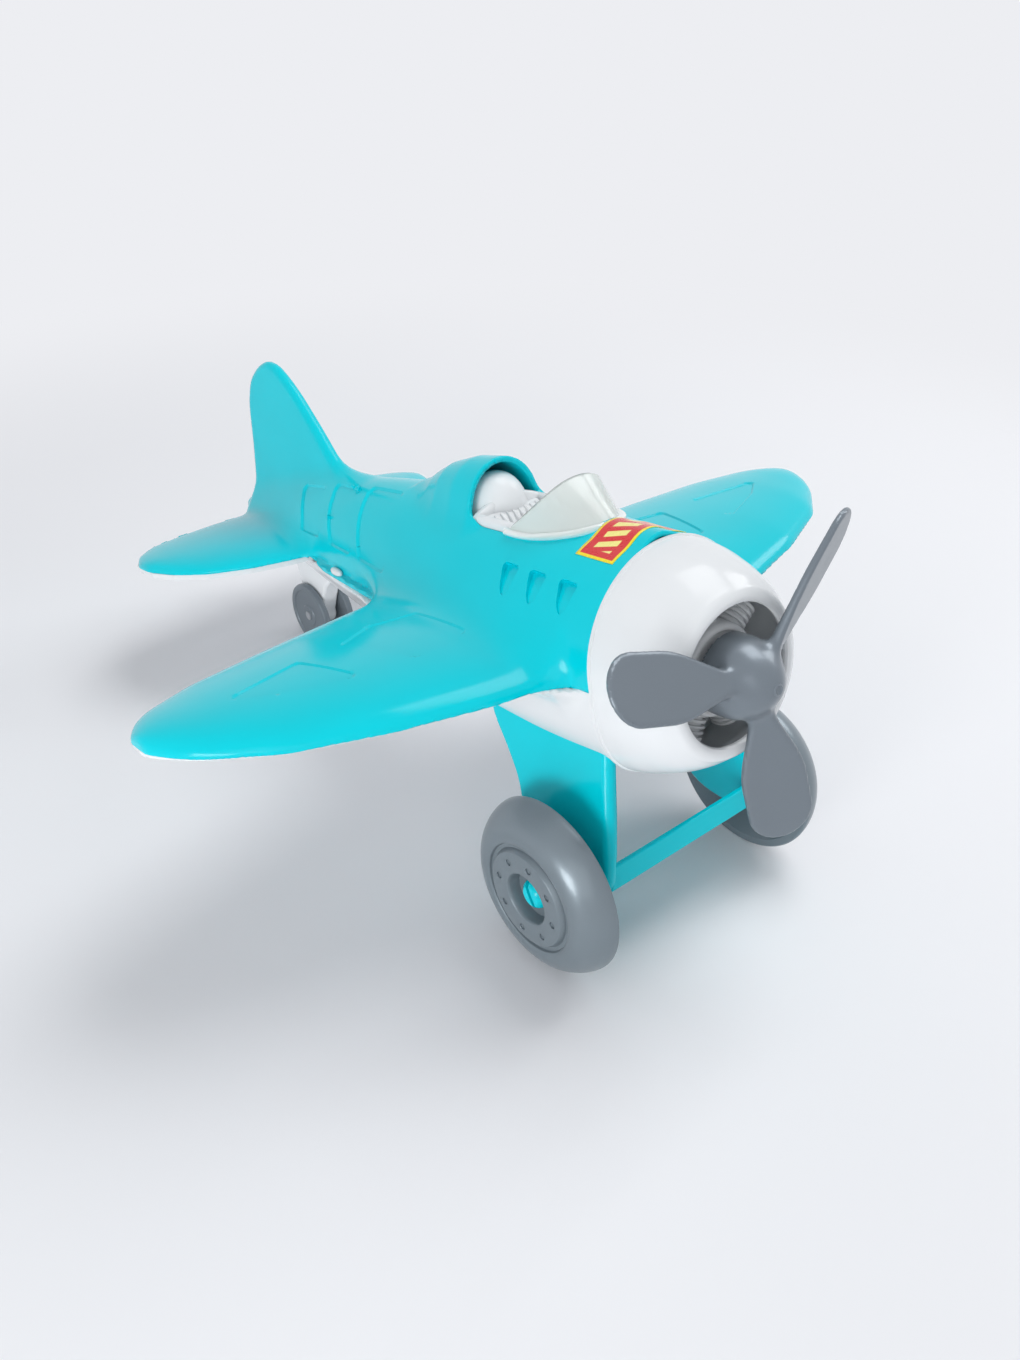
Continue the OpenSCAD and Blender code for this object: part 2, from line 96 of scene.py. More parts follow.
def smooth_min(a: Array, b: Array, k: float) -> Array:
    """Joins two forms with a fillet of about k."""
    h = np.clip(0.5 + 0.5 * (b - a) / k, 0, 1)
    return b * (1 - h) + a * h - k * h * (1 - h)


def ellipse_gap(u: Array, v: Array, ru: Array, rv: Array, power: Array | float = 2.0) -> Array:
    """Near distance from an ellipse, or a squarer form at a higher power, negative inside.

    Args:
        u: places along the first axis.
        v: places along the second axis.
        ru: radius along the first axis.
        rv: radius along the second axis.
        power: 2 for an ellipse, more for squarer shoulders.

    Returns:
        The distance of each place.
    """
    a, b = np.abs(u / ru), np.abs(v / rv)
    e = (a**power + b**power) ** (1 / power) + 1e-6
    steep = np.hypot(a ** (power - 1) / ru, b ** (power - 1) / rv)
    return (e - 1) * e ** (power - 1) / (steep + 1e-6)


def outline_gap(points: list, u: Array, v: Array) -> Array:
    """Distance from a closed outline, negative inside.

    Args:
        points: corners of the outline as (u, v) pairs.
        u: first coordinate of the places asked for.
        v: second coordinate.

    Returns:
        The signed distance at each place.
    """
    p = np.asarray(points, float)
    best = np.full(np.broadcast(u, v).shape, 1e12)
    inside = np.zeros(best.shape, bool)
    for (u0, v0), (u1, v1) in zip(p, np.roll(p, -1, axis=0)):
        du, dv = u1 - u0, v1 - v0
        t = np.clip(((u - u0) * du + (v - v0) * dv) / (du * du + dv * dv), 0, 1)
        best = np.minimum(best, (u - u0 - t * du) ** 2 + (v - v0 - t * dv) ** 2)
        if v0 != v1:
            inside ^= ((v0 > v) != (v1 > v)) & (u < du * (v - v0) / dv + u0)
    return np.where(inside, -1, 1) * np.sqrt(best)


def rounded(points: list, times: int = 3) -> list:
    """Cuts the corners of a closed outline a few times, which rounds it.

    Args:
        points: corners of the outline.
        times: how often every corner is cut.

    Returns:
        The new corners.
    """
    p = np.asarray(points, float)
    for _ in range(times):
        q = np.roll(p, -1, axis=0)
        p = np.stack([0.8 * p + 0.2 * q, 0.2 * p + 0.8 * q], 1).reshape(-1, 2)
    return [tuple(c) for c in p]


def inset_gap(points: list, u: Array, v: Array, corner: float) -> Array:
    """Distance from an outline whose corners are rounded by corner.

    Args:
        points: corners of the outline.
        u: first coordinate of each place.
        v: second coordinate of each place.
        corner: radius of the corners.

    Returns:
        The distance, negative inside.
    """
    centre = np.mean(np.asarray(points, float), axis=0)
    p = np.asarray(points, float)
    span = np.linalg.norm(p - centre, axis=1, keepdims=True)
    return outline_gap(centre + (p - centre) * (1 - 1.4 * corner / span), u, v) - corner


class Curve:
    """A table of values along one axis, smoothed so that no kink shows."""

    def __init__(self, xs: list, ys: list, soft: float) -> None:
        """Samples the table finely and averages it over about soft.

        Args:
            xs: stations, rising.
            ys: values at the stations.
            soft: length that the averaging spans.
        """
        step = 0.5
        pad = 4 * soft + step
        self.grid = np.arange(xs[0] - pad, xs[-1] + pad, step)
        raw = np.interp(self.grid, xs, ys)
        reach = np.arange(-3 * soft, 3 * soft + step, step)
        weight = np.exp(-0.5 * (reach / soft) ** 2)
        half = len(reach) // 2
        padded = np.pad(raw, (half, len(reach) - 1 - half), mode="edge")
        self.values = np.convolve(padded, weight / weight.sum(), mode="valid")

    def __call__(self, x: Array) -> Array:
        """Value at x."""
        return np.interp(x, self.grid, self.values)


# ---------------------------------------------------------------- meshes


class Stand:
    """Turns level airframe millimetres into metres on the wheels."""

    def __init__(self) -> None:
        """Reads the pitch and the front axle from the frame's joints."""
        joints = {j["name"]: j for j in frame["joints"]}
        axis = joints["propeller_spin"]["axis"]
        self.cos, self.sin = -axis[1], axis[2]
        axle = joints["wheel_left_spin"]["pos_m"]
        self.axle = np.array([0, axle[1], axle[2]])

    def place(self, points: Array) -> Array:
        """Points on the stand, in metres.

        Args:
            points: points, one a row, in millimetres.

        Returns:
            The points in metres.
        """
        x, y, z = np.asarray(points, float).T
        turned = np.stack([x, self.cos * y + self.sin * z, self.cos * z - self.sin * y], 1)
        return turned * MM + self.axle


STAND = Stand()


@dataclass
class Surface:
    """Points and faces of a mesh, before it becomes an object."""

    points: Array
    faces: Array | list

    def normals(self) -> Array:
        """Unit normal at each point of a triangle surface.

        Returns:
            One unit vector a point.
        """
        a, b, c = (self.points[self.faces[:, i]] for i in range(3))
        cross = np.cross(b - a, c - a)
        total = np.zeros_like(self.points)
        for i in range(3):
            np.add.at(total, self.faces[:, i], cross)
        return total / (np.linalg.norm(total, axis=1, keepdims=True) + 1e-12)

    def split(self, value: Array) -> tuple["Surface", Array, Array]:
        """Cuts each triangle where a value at the points crosses zero.

        Args:
            value: one number for each point.

        Returns:
            The cut surface, which triangles have a positive value, and the cut's edges in
            the direction that the positive side has them.
        """
        value = np.where(np.abs(value) < 1e-4, 1e-4, value)
        sign = value > 0
        tri = self.faces
        edges = np.sort(np.concatenate([tri[:, [0, 1]], tri[:, [1, 2]], tri[:, [2, 0]]]), axis=1)
        cross = sign[edges[:, 0]] != sign[edges[:, 1]]
        key, back = np.unique(edges[cross], axis=0, return_inverse=True)
        share = (value[key[:, 0]] / (value[key[:, 0]] - value[key[:, 1]]))[:, None]
        added = self.points[key[:, 0]] * (1 - share) + self.points[key[:, 1]] * share
        ids = np.full(len(edges), -1)
        ids[cross] = len(self.points) + back.ravel()
        mids = ids.reshape(3, -1)
        at = sign[tri]
        count = at.sum(1)
        whole = (count == 0) | (count == 3)
        faces, inside, rim = [tri[whole]], [count[whole] == 3], []
        for k in range(3):
            odd = ~whole & (at[:, k] != at[:, (k + 1) % 3]) & (at[:, k] != at[:, (k + 2) % 3])
            a, b, c = tri[odd, k], tri[odd, (k + 1) % 3], tri[odd, (k + 2) % 3]
            ab, ca, own = mids[k][odd], mids[(k + 2) % 3][odd], at[odd, k]
            faces += [np.stack(t, 1) for t in ((a, ab, ca), (ab, b, c), (ab, c, ca))]
            inside += [own, ~own, ~own]
            rim.append(np.where(own[:, None], np.stack([ab, ca], 1), np.stack([ca, ab], 1)))
        cut = Surface(np.concatenate([self.points, added]), np.concatenate(faces))
        return cut, np.concatenate(inside), np.concatenate(rim)

    def keep(self, value: Array) -> "Surface":
        """The part of the surface where the value is positive.

        Args:
            value: a number for each point.

        Returns:
            The cut surface.
        """
        cut, inside, _ = self.split(value)
        used, back = np.unique(cut.faces[inside], return_inverse=True)
        return Surface(cut.points[used], back.reshape(-1, 3))

    def recess(self, value: Array, depth: Callable[[Array], Array]) -> "Surface":
        """Sinks the part where value is positive, with a wall round it.

        Args:
            value: one number for each point, positive inside the outline.
            depth: gives how far points sink, in millimetres.

        Returns:
            The surface with the sunk field and its side walls.
        """
        cut, inside, rim = self.split(value)
        if not len(rim):
            return self
        normal = cut.normals()
        sunk = cut.points - normal * depth(cut.points)[:, None]
        ring = np.unique(rim)
        twin = np.arange(len(cut.points))
        twin[ring] = len(cut.points) + np.arange(len(ring))
        points = np.concatenate([cut.points, sunk[ring]])
        inner = np.setdiff1d(np.unique(cut.faces[inside]), ring)
        points[inner] = sunk[inner]
        a, b = rim.T
        walls = [np.stack([a, b, twin[b]], 1), np.stack([a, twin[b], twin[a]], 1)]
        faces = np.where(inside[:, None], twin[cut.faces], cut.faces)
        return Surface(points, np.concatenate([faces, *walls]))

    def sink(self, value: Callable[[Array], Array], depth: float, slope: float) -> "Surface":
        """Sinks the part where value is positive, down a sloping edge.

        Args:
            value: gives a distance inside the outline for points.
            depth: depth of the floor.
            slope: width of the sloping edge.

        Returns:
            The surface with the sunk field.
        """
        cut = self.split(value(self.points))[0]
        cut = cut.split(value(cut.points) - slope)[0]
        share = np.clip(value(cut.points) / slope, 0, 1)
        cut.points = cut.points - cut.normals() * (depth * share)[:, None]
        return cut

    def moved(self, turn: Callable[[Array], Array]) -> "Surface":
        """The same faces with every point passed through turn."""
        return Surface(turn(self.points), self.faces)

    def joined(self, *others: "Surface") -> "Surface":
        """This surface and others as one.

        Args:
            others: surfaces to add.

        Returns:
            One surface.
        """
        points, faces, start = [], [], 0
        for s in (self, *others):
            points.append(np.asarray(s.points, float))
            faces += [[int(i) + start for i in f] for f in s.faces]
            start += len(s.points)
        return Surface(np.concatenate(points), faces)


def loft(rings: list, closed: bool = True, caps: bool = True) -> Surface:
    """Skin through equal rings of points.

    Args:
        rings: rings of 3-D points, each of the same length.
        closed: whether each ring closes on itself.
        caps: whether the first and last ring are filled.

    Returns:
        The skin as quads, with end faces if asked for.
    """
    n, m = len(rings[0]), len(rings)
    around = n if closed else n - 1
    faces = [
        [j * n + i, j * n + (i + 1) % n, (j + 1) * n + (i + 1) % n, (j + 1) * n + i]
        for j, i in product(range(m - 1), range(around))
    ]
    if caps:
        faces.append(list(range(n))[::-1])
        faces.append([(m - 1) * n + i for i in range(n)])
    return Surface(np.concatenate([np.asarray(r, float) for r in rings]), faces)


def lathe(profile: list, steps: int = 96) -> Surface:
    """Turns (radius, height) points about Z; a profile that ends on the axis is closed there.

    Args:
        profile: (radius, height) pairs.
        steps: facets round.

    Returns:
        The turned surface.
    """
    angle = np.arange(steps) * 2 * math.pi / steps
    rings = [
        np.stack([r * np.cos(angle), r * np.sin(angle), np.full(steps, h)], 1)
        for r, h in ((max(r, 0.02), h) for r, h in profile)
    ]
    return loft(rings)


def extrude(outline: list, low: float, high: float) -> Surface:
    """A flat outline given depth along Z."""
    return loft([[(u, v, low) for u, v in outline], [(u, v, high) for u, v in outline]])


class Form:
    """A solid given by a distance-like function, negative inside."""

    def value(self, x: Array, y: Array, z: Array) -> Array:
        """Value at a place; each solid gives its own."""
        raise NotImplementedError

    def at(self, points: Array) -> Array:
        """Value at each of a list of points."""
        return self.value(points[:, 0], points[:, 1], points[:, 2])

    def settle(self, points: Array, level: float = 0.0, times: int = 3) -> Array:
        """Moves points along the slope onto the surface at a level.

        Args:
            points: points, one a row, in millimetres.
            level: height over the form.
            times: how many moves.

        Returns:
            The moved points.
        """
        d = 0.05
        for _ in range(times):
            slope = np.stack(
                [
                    (self.at(points + d * e) - self.at(points - d * e)) / (2 * d)
                    for e in np.eye(3)
                ],
                1,
            )
            short = (self.at(points) - level) / np.maximum((slope**2).sum(1), 0.05)
            points = points - np.clip(short, -2, 2)[:, None] * slope
        return points

    def skin(self, low: tuple, high: tuple, step: float, relax: int = 3) -> Surface:
        """Meshes the surface inside a box.

        Args:
            low: lowest corner of the box.
            high: highest corner.
            step: size of a grid cell.
            relax: how often the points are evened out.

        Returns:
            A triangle surface whose faces point outwards.
        """
        axes = [np.arange(a, b + step, step) for a, b in zip(low, high)]
        x, y, z = np.meshgrid(*axes, indexing="ij", sparse=True)
        f = np.broadcast_to(self.value(x, y, z), [len(a) for a in axes])
        neg = f < 0
        n = np.array(f.shape)
        count = sum(
            neg[i : n[0] - 1 + i, j : n[1] - 1 + j, k : n[2] - 1 + k].astype(np.int8)
            for i, j, k in product((0, 1), repeat=3)
        )
        active = (count > 0) & (count < 8)
        ids = np.full(active.shape, -1)
        ids[active] = np.arange(active.sum())
        cells = np.argwhere(active)
        total, hits = np.zeros(cells.shape), np.zeros(len(cells))
        quads = []
        for axis in range(3):
            unit = np.eye(3, dtype=int)[axis]
            others = [a for a in range(3) if a != axis]
            for shift in product((0, 1), repeat=2):
                p = cells.copy()
                p[:, others] += shift
                fp, fq = f[tuple(p.T)], f[tuple((p + unit).T)]
                hit = (fp < 0) != (fq < 0)
                share = np.where(hit, fp / np.where(hit, fp - fq, 1), 0)
                total[hit] += (p + unit * share[:, None])[hit]
                hits += hit
            lower = [slice(0, n[a] - 1) if a == axis else slice(1, n[a] - 1) for a in range(3)]
            upper = [slice(1, n[a]) if a == axis else slice(1, n[a] - 1) for a in range(3)]
            starts, ends = neg[tuple(lower)], neg[tuple(upper)]
            for flip in (False, True):
                at = np.argwhere((starts != ends) & (starts == flip))
                at[:, others] += 1
                u, v = np.eye(3, dtype=int)[(axis + 1) % 3], np.eye(3, dtype=int)[(axis + 2) % 3]
                ring = [at - u - v, at - v, at, at - u]
                quad = np.stack([ids[tuple(c.T)] for c in ring], 1)
                quads.append(quad if flip else quad[:, ::-1])
        quads = np.concatenate(quads)
        points = np.array(low) + total / hits[:, None] * step
        pairs = np.concatenate([quads[:, [i, (i + 1) % 4]] for i in range(4)])
        pairs = np.concatenate([pairs, pairs[:, ::-1]])
        degree = np.maximum(np.bincount(pairs[:, 0], minlength=len(points)), 1)[:, None]
        tris = np.concatenate([quads[:, [0, 1, 2]], quads[:, [0, 2, 3]]])
        points = self.settle(points, times=2)
        for _ in range(relax):
            middle = np.stack(
                [
                    np.bincount(pairs[:, 0], points[pairs[:, 1], a], len(points))
                    for a in range(3)
                ],
                1,
            )
            drift = middle / degree - points
            normal = Surface(points, tris).normals()
            drift -= (drift * normal).sum(1, keepdims=True) * normal
            points = self.settle(points + 0.7 * drift, times=1)
        return Surface(points, tris)


# ---------------------------------------------------------------- nodes and finishes


class Sock:
    """A node's output that takes part in Python sums."""

    def __init__(self, maker: "Maker", socket: bpy.types.NodeSocket) -> None:
        """Keeps the socket and the tree it belongs to."""
        self.maker, self.socket = maker, socket

    def math(self, operation: str, *others: "Sock | float") -> "Sock":
        """A Math node on this value and others."""
        values = dict(enumerate((self, *others)))
        return self.maker.out(self.maker.node("ShaderNodeMath", {"operation": operation}, values))

    def __add__(self, other: "Sock | float") -> "Sock":
        """Sum."""
        return self.math("ADD", other)

    def __mul__(self, other: "Sock | float") -> "Sock":
        """Product."""
        return self.math("MULTIPLY", other)

    def __sub__(self, other: "Sock | float") -> "Sock":
        """Difference."""
        return self.math("SUBTRACT", other)

    def __rsub__(self, other: float) -> "Sock":
        """Difference from a number."""
        return self.math("MULTIPLY_ADD", -1.0, other)

    __radd__ = __add__
    __rmul__ = __mul__

    def step(self, low: float, high: float) -> "Sock":
        """Smooth step from 0 at low to 1 at high.

        Args:
            low: where it leaves 0.
            high: where it reaches 1.

        Returns:
            The step.
        """
        node = self.maker.node(
            "ShaderNodeMapRange",
            {"interpolation_type": "SMOOTHSTEP"},
            {"Value": self, "From Min": low, "From Max": high},
        )
        return self.maker.out(node)


class Maker:
    """Makes the nodes of one tree."""

    def __init__(self, tree: bpy.types.NodeTree) -> None:
        """Keeps the tree."""
        self.tree = tree

    def node(
        self, kind: str, settings: dict | None = None, values: dict | None = None
    ) -> bpy.types.Node:
        """Adds a node.

        Args:
            kind: the node's type.
            settings: its properties.
            values: numbers or outputs for its inputs.

        Returns:
            The node.
        """
        node = self.tree.nodes.new(kind)
        for key, value in (settings or {}).items():
            setattr(node, key, value)
        for key, value in (values or {}).items():
            if isinstance(value, Sock):
                self.tree.links.new(value.socket, node.inputs[key])
            else:
                node.inputs[key].default_value = value
        return node

    def out(self, node: bpy.types.Node, key: int | str = 0) -> Sock:
        """One output of a node."""
        return Sock(self, node.outputs[key])

    def place(self, scale: float) -> Sock:
        """Object coordinates multiplied by scale.

        Args:
            scale: the multiplier.

        Returns:
            The scaled coordinates.
        """
        where = self.out(self.node("ShaderNodeTexCoord"), "Object")
        return self.out(
            self.node("ShaderNodeMapping", {}, {"Vector": where, "Scale": (scale,) * 3})
        )

    def noise(self, scale: float, detail: float = 2.0) -> Sock:
        """Noise of so many cells a metre."""
        values = {"Vector": self.place(scale), "Scale": 1.0, "Detail": detail}
        return self.out(self.node("ShaderNodeTexNoise", {}, values))

    def seen(self) -> Sock:
        """One for what the eye sees, straight, mirrored or through glass.

        Returns:
            1 for those rays, 0 for the rest.
        """
        ray = self.node("ShaderNodeLightPath")
        direct = self.out(ray, "Is Camera Ray")
        glossy, through = self.out(ray, "Is Glossy Ray"), self.out(ray, "Is Transmission Ray")
        return direct.math("MAXIMUM", glossy).math("MAXIMUM", through)

    def mix(self, share: Sock, a: tuple | Sock, b: tuple | Sock) -> Sock:
        """Colour between a and b."""
        node = self.node("ShaderNodeMix", {"data_type": "RGBA"}, {0: share, 6: a, 7: b})
        return self.out(node, 2)


def linear(code: str) -> tuple:
    """Linear colour of a hex code."""
    parts = [int(code[i : i + 2], 16) / 255 for i in (0, 2, 4)]
    return (*(c / 12.92 if c <= 0.04045 else ((c + 0.055) / 1.055) ** 2.4 for c in parts), 1.0)


def shade(colour: tuple, factor: float) -> tuple:
    """A colour made darker or lighter."""
    return (*(min(c * factor, 1.0) for c in colour[:3]), 1.0)


@dataclass(frozen=True)
class Plastic:
    """Moulded plastic with faint flow clouds, sink waves and fine handling marks."""

    name: str
    colour: str
    rough: float = 0.2
    clouds: float = 0.04
    coat: float = 0.25
    grain: float = 0.05
    fleck: float = 0.0
    clear: float = 0.0
    metal: float = 0.0
    glow: float = 0.0
    glow_depth: float = 0.004
    coat_rough: float = 0.08
    ior: float = 1.46
    mirror: float = 0.2

    def make(self) -> bpy.types.Material:
        """The material.

        Returns:
            The node material.
        """
        mat = bpy.data.materials.new(self.name)
        mat.use_nodes = True
        maker = Maker(mat.node_tree)
        shader = mat.node_tree.nodes["Principled BSDF"]
        base = linear(self.colour)
        cloud = maker.noise(38.0, 3.0)
        colour = maker.mix(cloud, shade(base, 1 - self.clouds), shade(base, 1 + self.clouds))
        if self.fleck:
            flake = maker.noise(3800.0, 1.0).step(0.55, 0.75) * self.fleck
            colour = maker.mix(flake, colour, shade(base, 1.5))
        fine = maker.noise(900.0, 2.0)
        scuff = maker.noise(140.0, 4.0).step(0.5, 0.8)
        rough = fine * 0.05 + scuff * 0.03 + (self.rough - 0.03)
        height = maker.noise(60.0, 1.0) * 1.0 + fine * self.grain
        bump = maker.node(
            "ShaderNodeBump", {}, {"Height": height, "Strength": 0.25, "Distance": 0.0002}
        )
        links = {"Base Color": colour, "Roughness": rough, "Normal": maker.out(bump)}
        for key, value in links.items():
            mat.node_tree.links.new(value.socket, shader.inputs[key])
        constants = {
            "Coat Weight": self.coat,
            "Coat Roughness": self.coat_rough,
            "IOR": self.ior,
            "Specular IOR Level": self.mirror,
            "Transmission Weight": self.clear,
            "Metallic": self.metal,
            "Subsurface Weight": self.glow,
            "Subsurface Radius": (1.0, 1.0, 1.0),
            "Subsurface Scale": self.glow_depth,
        }
        for key, value in constants.items():
            shader.inputs[key].default_value = value
        return mat


@dataclass(frozen=True)
class Steel:
    """Drawn steel with fine lines round the wire."""

    name: str = "drawn_steel"

    def make(self) -> bpy.types.Material:
        """The material.

        Returns:
            The node material.
        """
        mat = bpy.data.materials.new(self.name)
        mat.use_nodes = True
        maker = Maker(mat.node_tree)
        shader = mat.node_tree.nodes["Principled BSDF"]
        line = maker.noise(1500.0, 3.0)
        colour = maker.mix(line, linear("B4B7BA"), linear("D2D4D6"))
        mat.node_tree.links.new(colour.socket, shader.inputs["Base Color"])
        rough = line * 0.2 + 0.22
        mat.node_tree.links.new(rough.socket, shader.inputs["Roughness"])
        shader.inputs["Metallic"].default_value = 1.0
        return mat


@dataclass(frozen=True)
class Label:
    """Printed sticker: a red field, a yellow border and a row of plain slanted bars."""

    name: str = "sticker_print"
    border: float = 1.0
    bars: int = 6

    def make(self, long: float, wide: float) -> bpy.types.Material:
        """The material for a sticker of a length and width in millimetres.

        Args:
            long: length round the shell.
            wide: width along the shell.

        Returns:
            The node material.
        """
        mat = bpy.data.materials.new(self.name)
        mat.use_nodes = True
        maker = Maker(mat.node_tree)
        shader = mat.node_tree.nodes["Principled BSDF"]
        uv = maker.out(maker.node("ShaderNodeUVMap", {"uv_map": "print"}))
        split = maker.node("ShaderNodeSeparateXYZ", {}, {0: uv})
        u, v = maker.out(split, 0) * long, maker.out(split, 1) * wide
        edge_u = (u - long / 2).math("ABSOLUTE")
        edge_v = (v - wide / 2).math("ABSOLUTE")
        soft = 0.12
        rim = edge_u.step(long / 2 - self.border - soft, long / 2 - self.border + soft).math(
            "MAXIMUM",
            edge_v.step(wide / 2 - self.border - soft, wide / 2 - self.border + soft),
        )
        pitch = (long - 5.0) / self.bars
        wave = ((u - 2.5 + v * 0.35).math("MODULO", pitch) - pitch / 2).math("ABSOLUTE")
        bar = 1 - wave.step(pitch * 0.26 - soft, pitch * 0.26 + soft)
        within = (1 - edge_u.step(long / 2 - 3.4, long / 2 - 3.1)) * (
            1 - edge_v.step(wide / 2 - 4.2, wide / 2 - 3.9)
        )
        ink = maker.noise(700.0, 2.0) * 0.25
        red = maker.mix(ink, linear("DC1A22"), linear("B8121A"))
        colour = maker.mix(bar * within, red, linear("F7EC8A"))
        colour = maker.mix(rim, colour, linear("F9DE1C"))
        mat.node_tree.links.new(colour.socket, shader.inputs["Base Color"])
        rough = maker.noise(500.0, 2.0) * 0.12 + 0.22
        mat.node_tree.links.new(rough.socket, shader.inputs["Roughness"])
        shader.inputs["Coat Weight"].default_value = 0.3
        return mat


class Finishes:
    """Every finish of the toy, made once."""

    def __init__(self) -> None:
        """Makes the materials."""
        self.teal = Plastic("teal_gloss", "00CEDC", 0.17, coat=0.02).make()
        self.white = Plastic("white_gloss", "E6E9EB", 0.18, 0.02, coat=0.08, glow=0.2).make()
        self.milky = Plastic("milky_clear", "EEF5F2", 0.22, 0.02, clear=0.45).make()
        self.grey = Plastic(
            "grey_satin", "788189", 0.31, coat=0.2, fleck=0.1, metal=0.3
        ).make()
        self.wheel = Plastic(
            "wheel_satin", "7B868D", 0.32, coat=0.2, fleck=0.1, metal=0.3
        ).make()
        self.disc = Plastic(
            "disc_satin", "727B82", 0.36, coat=0.1, fleck=0.08, metal=0.25
        ).make()
        self.steel = Steel().make()

    def wear(self, node: str, material: bpy.types.Material) -> None:
        """Gives a kept frame node its finish.

        Args:
            node: name of the frame node.
            material: its finish.
        """
        slots = frame["nodes"][node].material_slots
        if not slots:
            frame["nodes"][node].data.materials.append(material)
        for place in slots:
            place.material = material
        log.info("kept %s in %s", node, material.name)


def show(
    name: str,
    surface: Surface,
    material: bpy.types.Material,
    body: Body,
    nodes: tuple = (),
    wall: float = 0.0,
    bevel: float = 0.0,
) -> bpy.types.Object:
    """Makes one visible piece.

    Args:
        name: name of the piece.
        surface: its mesh in level millimetres.
        material: its finish.
        body: the body it moves with.
        nodes: frame nodes it stands for.
        wall: thickness given inwards, in millimetres.
        bevel: width of a bevel on sharp edges, in millimetres.

    Returns:
        The object.
    """
    mesh = bpy.data.meshes.new(name)
    faces = surface.faces
    mesh.from_pydata(
        STAND.place(surface.points).tolist(),
        [],
        faces.tolist() if isinstance(faces, np.ndarray) else faces,
    )
    mesh.validate()
    mesh.shade_smooth()
    mesh.set_sharp_from_angle(angle=SHARP)
    mesh.materials.append(material)
    piece = bpy.data.objects.new(name, mesh)
    bpy.context.scene.collection.objects.link(piece)
    if wall:
        solid = piece.modifiers.new("wall", "SOLIDIFY")
        solid.thickness, solid.offset = wall * MM, -1
    if bevel:
        round_off = piece.modifiers.new("round", "BEVEL")
        round_off.width, round_off.segments = bevel * MM, 3
        round_off.limit_method, round_off.angle_limit = "ANGLE", SHARP
        round_off.harden_normals = False
    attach(piece, body.value)
    if nodes:
        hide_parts(*nodes)
    log.info("%s: %d faces on %s", name, len(mesh.polygons), body.value)
    return piece


